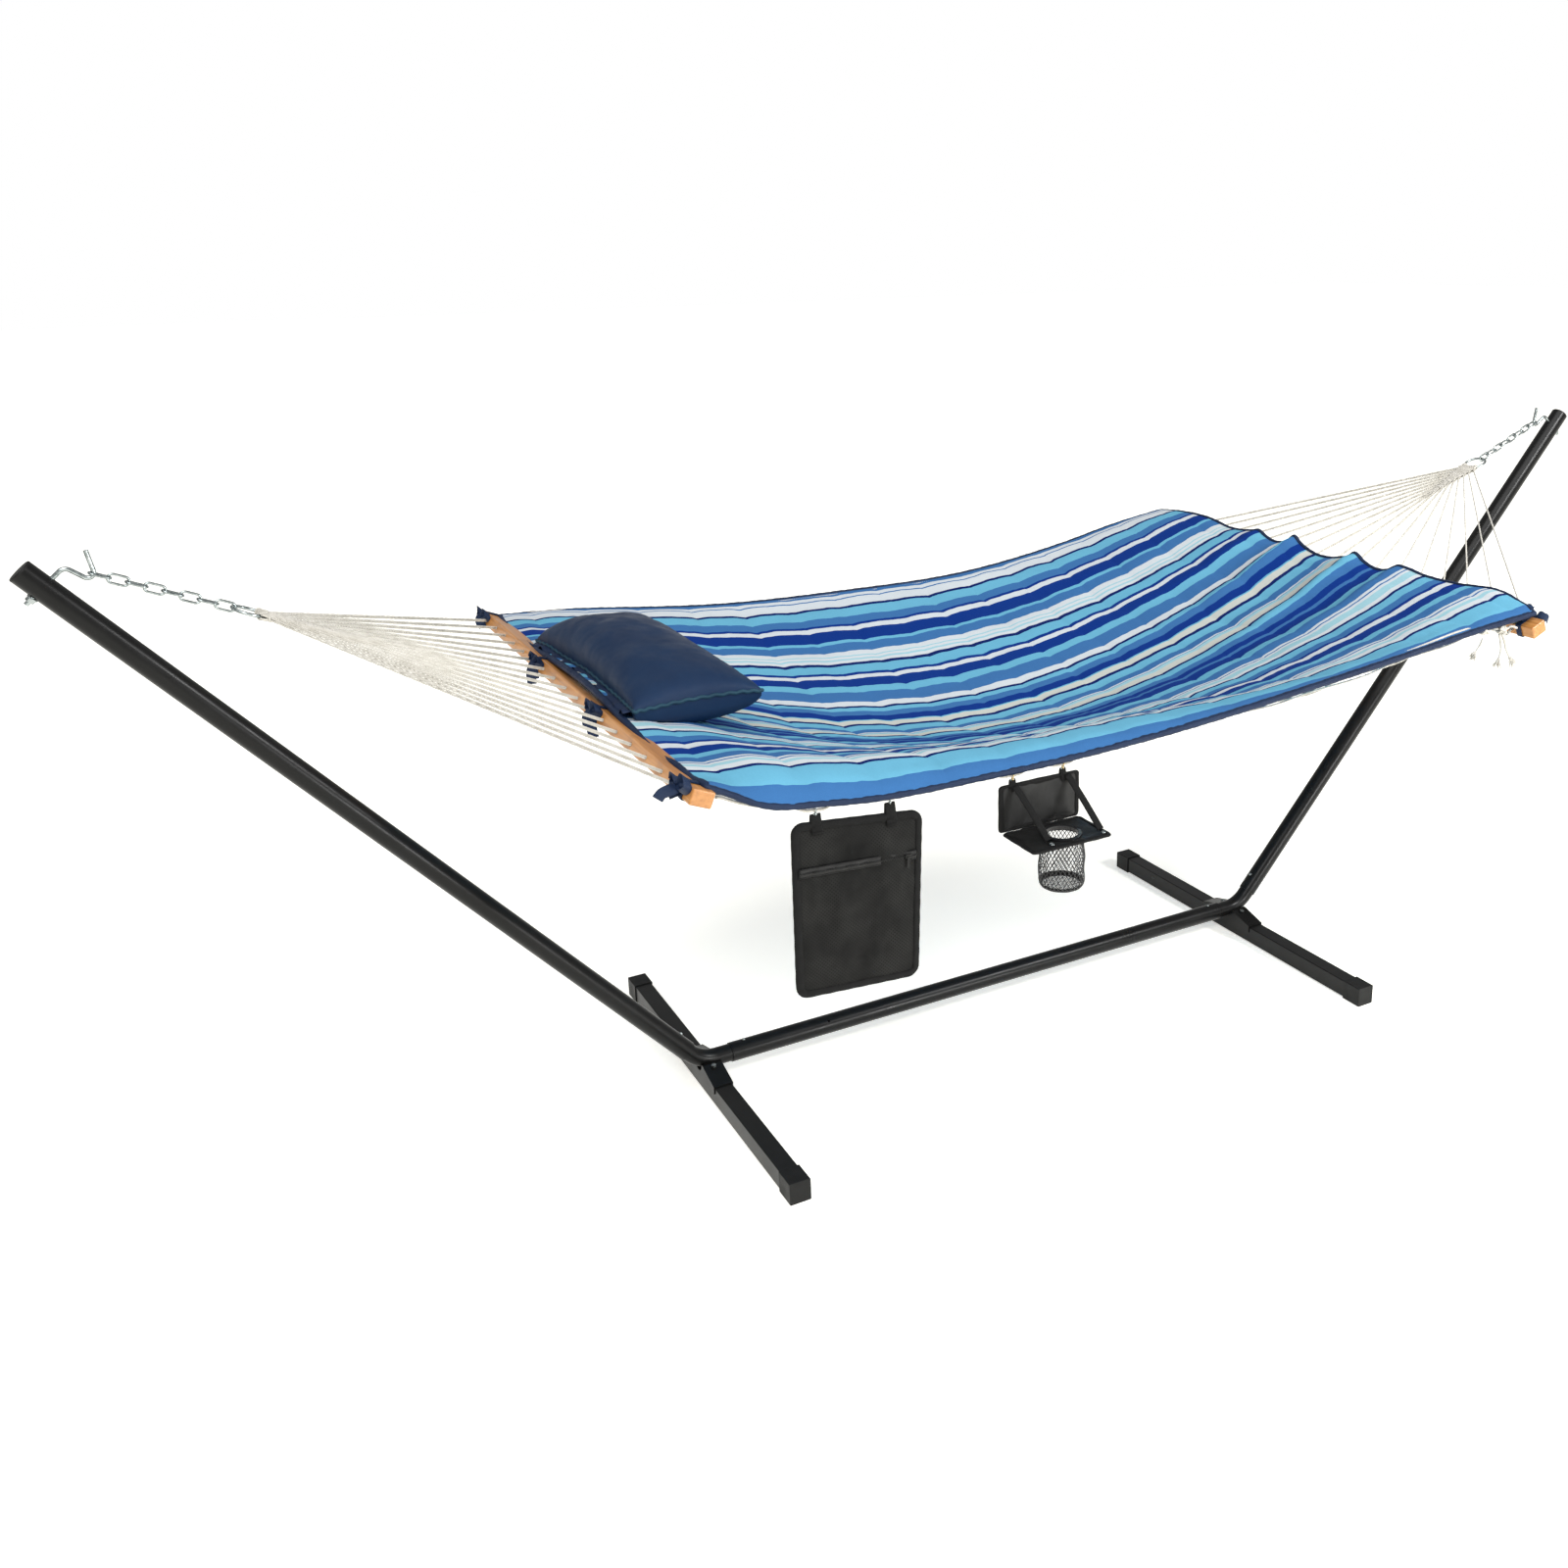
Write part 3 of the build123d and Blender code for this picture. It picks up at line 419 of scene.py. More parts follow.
# CAD nodes that are shown as they are, by the material each gets.
CAD_PAINT = {
    "steel": ["base_tube", "zipper_slider"] + both("elbow", "arm_tube", "saddle", "foot_beam"),
    "plastic": both("arm_cap", "foot_cap_front", "foot_cap_back"),
    "zinc": ["saddle_bolts", "saddle_nuts", "hook_washers", "hook_nuts", "bag_hooks", "bag_rings",
             "tray_rings"] + both("base_button", "arm_button", "hook_bolt", "chain", "ring"),
    "spring": ["button_springs"],
    "bamboo": both("spreader_bar"),
    "brass": ["tray_hooks"],
    "gloss": ["cup_rim"],
}
for paint, names in CAD_PAINT.items():
    for name in names:
        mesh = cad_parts[name].data
        mesh.materials.clear()
        mesh.materials.append(PAINT[paint])


# ---- mesh helpers -------------------------------------------------------------------------------
def unit(vectors):
    return vectors / np.linalg.norm(vectors, axis=-1, keepdims=True)


def piece(name, shape, paint, body):
    """A mesh object in the row frame that rides on a body. shape holds its vertices and faces."""
    verts, faces = shape
    mesh = bpy.data.meshes.new(name)
    mesh.from_pydata([tuple(v) for v in verts], [], [tuple(int(i) for i in f) for f in faces])
    mesh.validate()
    mesh.shade_smooth()
    mesh.materials.append(PAINT[paint])
    made = bpy.data.objects.new(name, mesh)
    scene.collection.objects.link(made)
    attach(made, body)
    return made


def joined(parts):
    """One vertex and face list from several."""
    verts, faces, start = [], [], 0
    for v, f in parts:
        verts.append(np.asarray(v, float))
        faces += [[i + start for i in face] for face in f]
        start += len(v)
    return np.concatenate(verts), faces


def grid_faces(rows, columns, flip=False, start=0):
    faces = []
    for i in range(rows - 1):
        for j in range(columns - 1):
            a = start + i * columns + j
            quad = (a, a + 1, a + columns + 1, a + columns)
            faces.append(quad[::-1] if flip else quad)
    return faces


def wrapped_faces(rows, count, closed=True, flip=False):
    """Quads between rows of points that each close on themselves, and back to the first row if closed."""
    faces = []
    for i in range(rows if closed else rows - 1):
        for j in range(count):
            a, b = i * count + j, i * count + (j + 1) % count
            c, d = (i + 1) % rows * count + (j + 1) % count, (i + 1) % rows * count + j
            faces.append((a, d, c, b) if flip else (a, b, c, d))
    return faces


def grid_rim(grid):
    """The outermost entries of a grid, all the way round."""
    return np.concatenate([grid[0, :-1], grid[:-1, -1], grid[-1, :0:-1], grid[:0:-1, 0]])


def closed_slab(top, bottom):
    """Solid between two grids of points, with its rim closed."""
    rows, columns = top.shape[:2]
    count = rows * columns
    verts = np.concatenate([top.reshape(-1, 3), bottom.reshape(-1, 3)])
    faces = grid_faces(rows, columns) + grid_faces(rows, columns, True, count)
    rim = grid_rim(np.arange(count).reshape(rows, columns)).tolist()
    for a, b in zip(rim, rim[1:] + rim[:1]):
        faces.append((b, a, a + count, b + count))
    return verts, faces


def closed_band(rows):
    """Band round a closed line. Each row holds one point of its section, all the way round."""
    return np.stack(rows, 1).reshape(-1, 3), wrapped_faces(len(rows[0]), len(rows))


def folded_tape(line, outward, side, section, ripple):
    """Tape folded over a closed rim. section lists how far out and how far to the side its points lie."""
    return closed_band([line + outward * a + side * (b + ripple[:, None] * np.sign(b)) for a, b in section])


def frames_along(points, closed=False):
    """Side and up vectors that turn smoothly along a line of points."""
    if closed:
        tangents = np.roll(points, -1, 0) - np.roll(points, 1, 0)
    else:
        tangents = np.gradient(points, axis=0)
    tangents = unit(tangents)
    side = np.cross(tangents[0], (0, 0, 1))
    if np.linalg.norm(side) < 0.1:
        side = np.cross(tangents[0], (0, 1, 0))
    sides = []
    for t in tangents:
        side = unit(side - t * (side @ t))
        sides.append(side)
    sides = np.array(sides)
    return sides, np.cross(sides, tangents)


def tube(points, radius, count=8, closed=False, lobes=0, pitch=0.012, depth=0.18):
    """Tube along points. With lobes its section is a twisted rope of that many strands."""
    points = np.asarray(points, float)
    radius = np.broadcast_to(np.asarray(radius, float), len(points))
    sides, ups = frames_along(points, closed)
    steps = np.linalg.norm(np.diff(points, axis=0), axis=1)
    run = np.concatenate([[0], np.cumsum(steps)])
    angle = np.linspace(0, 2 * math.pi, count, endpoint=False)[None, :]
    swell = np.ones((len(points), count))
    if lobes:
        twist = (run / pitch * 2 * math.pi)[:, None]
        swell = 1 + depth * (np.abs(np.cos((angle - twist) * lobes / 2)) - 0.6)
    reach = radius[:, None] * swell
    ring = points[:, None, :] + reach[..., None] * (
        np.cos(angle)[..., None] * sides[:, None, :] + np.sin(angle)[..., None] * ups[:, None, :])
    rows = len(points)
    faces = wrapped_faces(rows, count, closed, True)
    if not closed:
        faces.append(tuple(range(count)))
        faces.append(tuple(range(rows * count - 1, (rows - 1) * count - 1, -1)))
    return ring.reshape(-1, 3), faces


def strap(points, across, width, thick):
    """Flat tape along points. across is the direction of its width, one vector or one per point."""
    points = np.asarray(points, float)
    tangents = unit(np.gradient(points, axis=0))
    across = np.broadcast_to(np.asarray(across, float), points.shape)
    across = unit(across - tangents * np.sum(across * tangents, axis=1)[:, None])
    normal = np.cross(tangents, across)
    section = ((-1, -0.4), (-0.86, 0.9), (0, 1), (0.86, 0.9), (1, -0.4), (0.86, -0.9), (0, -1), (-0.86, -0.9))
    rows = [points + across * (u * width / 2) + normal * (v * thick / 2) for u, v in section]
    count = len(section)
    faces = wrapped_faces(len(points), count, False)
    faces.append(tuple(range(count - 1, -1, -1)))
    faces.append(tuple(range((len(points) - 1) * count, len(points) * count)))
    return np.stack(rows, 1).reshape(-1, 3), faces


def smooth_line(points, count):
    """Smooth line (Catmull-Rom) through the points."""
    points = np.asarray(points, float)
    padded = np.concatenate([2 * points[:1] - points[1:2], points, 2 * points[-1:] - points[-2:-1]])
    where = np.linspace(0, len(points) - 1 - 1e-9, count)
    cell = where.astype(int)
    t = (where - cell)[:, None]
    p0, p1, p2, p3 = (padded[cell + k] for k in range(4))
    return 0.5 * (2 * p1 + (p2 - p0) * t + (2 * p0 - 5 * p1 + 4 * p2 - p3) * t ** 2
                  + (3 * p1 - p0 - 3 * p2 + p3) * t ** 3)


def soft_step(value, low, high):
    t = np.clip((value - low) / (high - low), 0, 1)
    return t * t * (3 - 2 * t)


def lattice_noise(x, y, seed):
    """Smooth noise between -1 and 1 at the points, one cell per unit."""
    table = np.random.default_rng(seed).uniform(-1, 1, (64, 64))
    ix, iy = np.floor(x).astype(int), np.floor(y).astype(int)
    fx, fy = x - ix, y - iy
    fx, fy = fx * fx * (3 - 2 * fx), fy * fy * (3 - 2 * fy)
    a, b = table[ix % 64, iy % 64], table[(ix + 1) % 64, iy % 64]
    c, d = table[ix % 64, (iy + 1) % 64], table[(ix + 1) % 64, (iy + 1) % 64]
    return (a * (1 - fx) + b * fx) * (1 - fy) + (c * (1 - fx) + d * fx) * fy


def curve_through(stations, heights):
    """Smooth function through the stations, without overshoot between flat neighbours."""
    x, y = np.asarray(stations, float), np.asarray(heights, float)
    slope = np.gradient(y, x)

    def value(at):
        at = np.clip(at, x[0], x[-1])
        i = np.clip(np.searchsorted(x, at) - 1, 0, len(x) - 2)
        h = x[i + 1] - x[i]
        t = (at - x[i]) / h
        return ((1 + 2 * t) * (1 - t) ** 2 * y[i] + t * (1 - t) ** 2 * h * slope[i]
                + t * t * (3 - 2 * t) * y[i + 1] + t * t * (t - 1) * h * slope[i + 1])

    return value


# ---- bed: shape shared by pad, binding and net ----------------------------------------------------
PAD_LEFT, PAD_RIGHT, PAD_SIDE = -0.948, 0.975, 0.650
EDGE_STATIONS = (-0.948, -0.905, -0.850, -0.720, -0.400, -0.060, 0.300, 0.620, 0.800, 0.975)
FRONT = curve_through(EDGE_STATIONS,
                      (0.949, 0.927, 0.895, 0.869, 0.856, 0.865, 0.895, 0.932, 0.959, 0.981))
BACK = curve_through(EDGE_STATIONS,
                     (0.955, 0.947, 0.938, 0.922, 0.889, 0.880, 0.885, 0.927, 0.962, 0.987))
CENTRE = curve_through((-0.948, -0.900, -0.800, -0.650, -0.450, -0.200, 0, 0.200, 0.400, 0.550, 0.700, 0.820,
                        0.900, 0.940, 0.975),
                       (0.951, 0.932, 0.886, 0.823, 0.757, 0.713, 0.702, 0.717, 0.755, 0.799, 0.853, 0.905,
                        0.947, 0.966, 0.978))
RIGHT_END = curve_through((-0.650, -0.597, -0.560, -0.417, -0.329, -0.265, -0.249, -0.215, -0.177, -0.135,
                           -0.103, -0.085, -0.058, 0.028, 0.085, 0.105, 0.125, 0.162, 0.215, 0.237, 0.262,
                           0.340, 0.430, 0.636, 0.650),
                          (0.962, 0.971, 0.979, 0.973, 0.974, 0.983, 0.984, 0.968, 0.963, 0.975,
                           0.990, 0.978, 0.970, 0.965, 0.985, 0.998, 0.984, 0.972, 0.982, 0.992, 0.987,
                           0.980, 0.993, 0.991, 0.990))
LEFT_END = curve_through((-0.650, -0.588, -0.545, -0.459, -0.301, -0.077, 0.191, 0.305, 0.508, 0.650),
                         (0.945, 0.936, 0.939, 0.930, 0.941, 0.954, 0.944, 0.935, 0.930, 0.936))
LIP_RISE = 0.050
QUILT_PITCH = 0.128
SAG_POWER = 1.55


def bed_height(x, y):
    """Middle layer of the bed at rest: a bowl between its two edges, puckered where the bars hold it."""
    t = np.clip(y / PAD_SIDE, -1, 1)
    low = CENTRE(x)
    lip = LIP_RISE * soft_step(-x, -0.45, 0.15) * soft_step(x, -0.93, -0.80)
    front = low + (FRONT(x) + lip - low) * np.abs(t) ** SAG_POWER
    front -= lip * np.clip((np.abs(t) - 0.8) / 0.2, 0, 1) ** 2
    back = low + (BACK(x) - low) * np.abs(t) ** SAG_POWER
    height = np.where(t < 0, front, back)
    ends = {PAD_RIGHT: (RIGHT_END, 0.30), PAD_LEFT: (LEFT_END, 0.10)}
    for end, (edge, fade) in ends.items():
        share = np.exp(-(np.abs(x - end) / fade) ** 1.5)
        there = np.full_like(x, end)
        at_end = np.where(t < 0, FRONT(there), BACK(there))
        plain = CENTRE(there) + (at_end - CENTRE(there)) * np.abs(t) ** SAG_POWER
        height = height + share * (edge(y) - plain)
    return height


def bed_height_at(x, y):
    return float(bed_height(np.array([x]), np.array([y]))[0])


def pad_grid(step):
    """Points over the pad: x, y and how far each is from the nearest edge."""
    columns = int((PAD_RIGHT - PAD_LEFT) / step) + 1
    rows = int(2 * PAD_SIDE / step) + 1
    u, v = np.meshgrid(np.linspace(0, 1, columns), np.linspace(-1, 1, rows))
    x = PAD_LEFT + (PAD_RIGHT - PAD_LEFT) * u
    narrow = 0.001 * (1 - (x / 0.96) ** 2)
    y = v * (PAD_SIDE - narrow)
    corner = np.abs(v) ** 10
    x = x - corner * 0.022 * soft_step(x, 0.90, 0.975) + corner * 0.012 * soft_step(-x, 0.90, 0.948)
    rim = np.minimum(np.minimum(x - x.min(), x.max() - x), PAD_SIDE - narrow - np.abs(y))
    return x, y, np.maximum(rim, 0)


def pad_surfaces(step):
    """The pad's two faces: quilted channels across it, puckered and creased away from its edge."""
    x, y, rim = pad_grid(step)
    middle = bed_height(x, y) - 0.003 * soft_step(np.abs(y), 0.630, 0.652)
    soft = soft_step(rim, 0.0, 0.05)
    run = x + 0.01 * lattice_noise(y * 6, x * 0, 5) - 0.02
    channel = np.abs(np.sin(math.pi * run / QUILT_PITCH)) ** 0.6
    half = 0.0040 + 0.0015 * soft + 0.0045 * soft * channel
    pucker = lattice_noise(x * 38, y * 9, 1) * (1 - channel) + 0.35 * lattice_noise(x * 60, y * 24, 2)
    roll = lattice_noise(x * 7, y * 22, 3)
    crease = 0.0022 * pucker * soft + 0.0018 * roll * soft
    top = middle + half + crease
    bottom = middle - half + 0.4 * crease
    return np.stack([x, y, top], -1), np.stack([x, y, bottom], -1)


def make_pad():
    top, bottom = pad_surfaces(0.0055)
    pad = piece("quilted_pad", closed_slab(top, bottom), "stripes", "hammock")
    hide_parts("bed_pad")
    return top, bottom


def make_binding(top, bottom):
    """Navy tape folded over the pad's rim."""
    line = grid_rim((top + bottom) / 2)
    outward = unit(np.cross(np.roll(line, -1, 0) - np.roll(line, 1, 0), (0, 0, 1)))
    section = ((-0.0095, 0.0050), (-0.007, 0.0062), (-0.002, 0.0058), (0.0010, 0.0042), (0.0024, 0.0),
               (0.0010, -0.0042), (-0.002, -0.0058), (-0.007, -0.0062), (-0.0095, -0.0050))
    run = np.arange(len(line))
    ripple = 0.0003 * np.sin(run * 1.7) + 0.0003 * np.sin(run * 0.61)
    piece("pad_binding", folded_tape(line, outward, UP, section, ripple), "binding", "hammock")


make_binding(*make_pad())


# ---- ropes --------------------------------------------------------------------------------------
BAR_HOLES = 17
HOLE_SPAN = 1.224
ROW_HALF = 0.0014
STRAND_RADIUS = 0.0016
RING_RADIUS = 0.026
RING_WIRE = 0.003
WEAVE_START = 0.034
WEAVE_STEP = 0.0155
STRAND_STEP = 0.0030
SEAT_SPREAD = math.radians(50)
TWIST = {"lobes": 3, "pitch": 0.011, "depth": 0.3}
BAR_APPROACH = 0.022
BAR_EXIT = 0.026
NET_CROSSINGS = 15
NET_REACH = 0.84
NET_SIDE = 0.632
NET_DROP = 0.020


def pull_line(side):
    """Ring centre, bar centre, pull direction towards the bar and the direction square to it, upward."""
    low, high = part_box(f"{side}_ring")
    ring = np.array((low + high) / 2)
    low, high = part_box(f"{side}_spreader_bar")
    bar = np.array((low + high) / 2)
    along = unit(bar - ring)
    above = np.cross(along, ACROSS)
    above *= np.sign(above[2])
    return ring, bar, along, unit(above)


def station(i):
    """How far across the bar hole i lies."""
    return HOLE_SPAN * (i / (BAR_HOLES - 1) - 0.5)


def weave_exit(k):
    """Where strand k, counted from the middle one, leaves the woven part: along the pull and across it."""
    return WEAVE_START + WEAVE_STEP * (BAR_HOLES // 2 - abs(k)), STRAND_STEP * k


def clew_strands(side):
    """Loops round the ring, each with two legs that run through the weave, then straight to the bar."""
    ring, bar, along, above = pull_line(side)
    parts = []
    for i in range(BAR_HOLES):
        k = i - BAR_HOLES // 2
        angle = k / (BAR_HOLES // 2) * SEAT_SPREAD
        outward = along * math.cos(angle) + ACROSS * math.sin(angle)
        seat = ring + outward * RING_RADIUS
        wrap = RING_WIRE + STRAND_RADIUS + 0.0002 + 0.0014 * (i % 2)
        reach, aside = weave_exit(k)
        leaving = ring + along * reach + ACROSS * aside
        legs = []
        for row in (1, -1):
            hole = bar + ACROSS * station(i) + above * ROW_HALF * row
            start = seat + outward * wrap * 0.9 + above * row * wrap * 0.75
            corner = leaving + above * 0.0019 * row
            face = hole - along * BAR_APPROACH
            woven = [start + (corner - start) * t for t in np.linspace(0, 1, 40)]
            straight = [corner + (face - corner) * t for t in np.linspace(0, 1, 260)[1:]]
            through = [face + (hole + along * BAR_EXIT - face) * t for t in np.linspace(0.03, 1, 14)]
            legs.append(woven + straight + through)
        loop = []
        for turn in np.linspace(-0.42, 0.42, 9) * 2 * math.pi:
            back = -outward * math.cos(turn) * wrap
            loop.append(seat + back + above * math.sin(turn) * wrap)
        line = legs[1][::-1] + loop + legs[0]
        parts.append(tube(line, STRAND_RADIUS, 6, **TWIST))
    return parts


def clew_weave(side):
    """Cross cords woven between the legs, each row one strand narrower at both sides."""
    ring, _, along, above = pull_line(side)
    parts = []
    for k in range(BAR_HOLES // 2):
        s, edge = weave_exit(BAR_HOLES // 2 - k)
        s -= 0.002
        ys = np.arange(-edge, edge + 0.001, STRAND_STEP)
        for phase in (1, -1):
            points = [ring + along * s - ACROSS * (edge + 0.0024)]
            for j, y in enumerate(ys):
                lift = phase * (1 if j % 2 else -1) * 0.0042
                slant = 0.007 * (1 - abs(y) / edge)
                points.append(ring + along * (s - slant + 0.0022 * phase) + ACROSS * y + above * lift)
            points.append(ring + along * s + ACROSS * (edge + 0.0024))
            parts.append(tube(smooth_line(points, 8 * len(points)), STRAND_RADIUS, 6, **TWIST))
    return parts


def net_line(i, row):
    """One cord of the rope bed: from a bar hole, zigzag between its neighbours, to the other bar."""
    ends = []
    for side in SIDES:
        _, bar, along, above = pull_line(side)
        hole = bar + ACROSS * station(i) + above * ROW_HALF * row
        ends.append((hole + along * 0.024, hole + along * 0.045))
    points = [ends[0][0], ends[0][1]]
    for k in range(NET_CROSSINGS):
        x = -NET_REACH + 2 * NET_REACH * k / (NET_CROSSINGS - 1)
        sway = HOLE_SPAN / (BAR_HOLES - 1) / 2 * (1 if k % 2 else 0)
        y = station(i) + row * sway
        y = float(np.clip(y, -NET_SIDE, NET_SIDE)) * (1 - 0.010 * (1 - x * x))
        z = bed_height_at(x, y) - NET_DROP - 0.0018 * row
        points.append(np.array((x, y, z)))
    points += [ends[1][1], ends[1][0]]
    return np.array(points)


def make_ropes():
    for side in SIDES:
        strands = piece(f"{side}_clew_ropes", joined(clew_strands(side)), "rope", "hammock")
        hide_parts(f"{side}_clew_strings")
        weave = piece(f"{side}_clew_crossing", joined(clew_weave(side)), "rope", "hammock")
        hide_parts(f"{side}_clew_weave")
    cords = [tube(smooth_line(net_line(i, row), 220), 0.0019, 6, lobes=3, pitch=0.02, depth=0.3)
             for i in range(BAR_HOLES) for row in (1, -1)]
    net = piece("rope_bed", joined(cords), "rope", "hammock")
    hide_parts("rope_net")


def cord_centre(side_sign):
    """Centreline of an edge cord, read from its CAD node."""
    co = np.array([v.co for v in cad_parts["net_edge_cords"].data.vertices], float)
    co = co[co[:, 1] * side_sign > 0]
    bins = np.linspace(co[:, 0].min(), co[:, 0].max(), 60)
    which = np.digitize(co[:, 0], bins)
    points = []
    for k in range(1, len(bins)):
        inside = co[which == k]
        if len(inside):
            points.append((inside[:, 0].mean(), (inside[:, 1].min() + inside[:, 1].max()) / 2,
                           (inside[:, 2].min() + inside[:, 2].max()) / 2))
    return np.array(points)


# Along the front edge cord: the four hooks of bag and tray, then the two knots.
HOOK_PLACES = (-0.749, -0.612, -0.369, -0.263, 0.806, 0.858)
CORD_LIFT, CORD_INSET = 0.0075, 0.007
CORD_RADIUS = 0.0026
CORD_Y = -0.641


def make_edge_cords():
    """Edge cords, raised into the pad's rim except where something hangs on them."""
    parts = []
    for side in (-1, 1):
        line = smooth_line(cord_centre(side), 900)
        near = np.ones(len(line))
        if side < 0:
            near = np.min([np.abs(line[:, 0] - x) for x in HOOK_PLACES], axis=0)
        free = soft_step(near, 0.012, 0.045) * (1 - soft_step(np.abs(line[:, 0]), 0.90, 0.945))
        line[:, 2] += CORD_LIFT * free
        line[:, 1] -= side * CORD_INSET * free
        parts.append(tube(line, CORD_RADIUS, 8, lobes=3, pitch=0.018, depth=0.18))
    cords = piece("edge_ropes", joined(parts), "rope", "hammock")
    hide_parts("net_edge_cords")


def make_knots():
    """Rope turns round the front edge cord, above the hanging tails."""
    line = cord_centre(-1)
    parts = []
    for x in HOOK_PLACES[4:]:
        z = float(np.interp(x, line[:, 0], line[:, 2]))
        for k, shift in enumerate((-0.0058, -0.0019, 0.0022, 0.0062)):
            turn = np.linspace(0, 2 * math.pi, 40, endpoint=False)
            reach = 0.0066 + 0.0009 * (k % 2)
            ring = np.stack([x + shift + 0.0016 * np.sin(turn + k), CORD_Y + reach * np.cos(turn),
                             z + reach * np.sin(turn)], -1)
            parts.append(tube(ring, CORD_RADIUS, 8, True, lobes=3, pitch=0.014, depth=0.2))
        cross = [(x - 0.010, -0.6475, z + 0.004), (x - 0.002, -0.6515, z), (x + 0.008, -0.6485, z - 0.007)]
        parts.append(tube(smooth_line(cross, 24), CORD_RADIUS, 8, lobes=3, pitch=0.014, depth=0.2))
    knots = piece("edge_knots", joined(parts), "rope", "hammock")
    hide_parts("net_knots")


TAILS = (
    ((0.804, -0.642, 0.922), (0.799, -0.643, 0.906), (0.777, -0.646, 0.893)),
    ((0.854, -0.642, 0.924), (0.861, -0.643, 0.903), (0.862, -0.645, 0.883), (0.852, -0.647, 0.866)),
    ((0.862, -0.642, 0.924), (0.872, -0.644, 0.903), (0.879, -0.643, 0.885), (0.892, -0.647, 0.864)),
)
TAIL_LENGTHS = (0.041, 0.061, 0.067)
FIBRES = 60


def frayed_end(number, end, before):
    """Loose fibres where a tail was cut."""
    along = unit(end - before)
    side = unit(np.cross(along, ACROSS))
    other = np.cross(along, side)
    draw = np.random.default_rng(40 + number)
    parts = []
    for _ in range(FIBRES):
        angle = draw.uniform(0, 2 * math.pi)
        out = side * math.cos(angle) + other * math.sin(angle)
        reach = draw.uniform(0.0, 0.0034)
        length = draw.uniform(0.010, 0.022)
        flare = draw.uniform(0.1, 0.55)
        start = end - along * 0.006 + out * reach
        points = [start, start + along * length * 0.5 + out * flare * length * 0.3,
                  start + along * length + out * flare * length - UP * 0.001]
        parts.append(tube(smooth_line(points, 6), np.linspace(0.0010, 0.0005, 6), 4))
    return piece(f"tail_{number}_fray", joined(parts), "rope", "hammock")


def make_tails():
    for number, (points, length) in enumerate(zip(TAILS, TAIL_LENGTHS), 1):
        data = bpy.data.curves.new(f"rope_end_{number}", "CURVE")
        data.dimensions = "3D"
        data.bevel_depth = 0.0028
        data.bevel_resolution = 3
        data.resolution_u = 16
        data.use_fill_caps = True
        line = data.splines.new("NURBS")
        line.points.add(len(points) - 1)
        for target, point in zip(line.points, points):
            target.co = (*point, 1)
        line.order_u = 3
        line.use_endpoint_u = True
        data.materials.append(PAINT["rope"])
        cord = bpy.data.objects.new(f"rope_end_{number}", data)
        scene.collection.objects.link(cord)
        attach(cord, "hammock")
        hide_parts(f"rope_tail_{number}")
        fray = frayed_end(number, np.array(points[-1]), np.array(points[-2]))


make_ropes()
make_edge_cords()
make_knots()
make_tails()


# ---- pillow -------------------------------------------------------------------------------------
PILLOW_MIDDLE = np.array((-0.806, 0.028, 0.950))
PILLOW_HALF = (0.122, 0.318)
PILLOW_RISE, PILLOW_FALL = 0.076, 0.085
PILLOW_GAP = 0.0085
RUFFLE_THICK = 0.0014


def make_pillow():
    """Stuffed pillow: two bulging faces that meet at a level seam and rest on the pad."""
    rows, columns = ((97, 201))
    u, v = np.meshgrid(np.linspace(-1, 1, rows), np.linspace(-1, 1, columns), indexing="ij")
    u = np.sin(u * math.pi / 2) * 0.35 + u * 0.65
    v = np.sin(v * math.pi / 2) * 0.35 + v * 0.65
    x = PILLOW_MIDDLE[0] + PILLOW_HALF[0] * u * (1 - 0.11 * (1 - v ** 2))
    y = PILLOW_MIDDLE[1] + PILLOW_HALF[1] * v * (1 - 0.055 * (1 - u ** 2))
    bulge = ((1 - u ** 2) * (1 - v ** 2)) ** 0.5
    full = bulge ** 0.68 * (1 - 0.08 * (u ** 2 + v ** 2) / 2)
    rim = np.maximum(np.abs(u), np.abs(v))
    near_rim = soft_step(rim, 0.72, 0.97) * (1 - soft_step(rim, 0.985, 1.0))
    gathers = np.where(np.abs(v) > np.abs(u), np.sin(u * 26 + 5 * lattice_noise(u * 3, v * 2, 12)),
                       np.sin(v * 52 + 6 * lattice_noise(u * 2, v * 5, 13)))
    crease = 0.0003 * gathers * near_rim + 0.0022 * lattice_noise(u * 3, v * 6, 11) * full
    crease += 0.0005 * lattice_noise(u * 9, v * 17, 14) * bulge
    seam = PILLOW_MIDDLE[2] + 0.004 * lattice_noise(u * 1.5, v * 4, 15) - 0.006 * v
    top = seam + PILLOW_RISE * full * (1 + 0.14 * v - 0.10 * u) + crease
    bottom = seam - PILLOW_FALL * bulge ** 0.55 + 0.5 * crease
    bottom = np.maximum(bottom, bed_height(x, y) + PILLOW_GAP)
    top = np.maximum(top, bottom + 0.0012)
    upper, lower = np.stack([x, y, top], -1), np.stack([x, y, bottom], -1)
    cushion = piece("head_pillow", closed_slab(upper, lower), "pillow", "hammock")
    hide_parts("pillow")
    middle = (upper + lower) / 2
    line = grid_rim(middle)
    wave = np.zeros_like(line)
    wave[:, 2] = 0.0012 * np.sin(np.arange(len(line)) * 0.7)
    piece("pillow_piping", tube(line + wave, 0.0034, 8, True), "piping", "hammock")
    make_ruffle(middle[0])


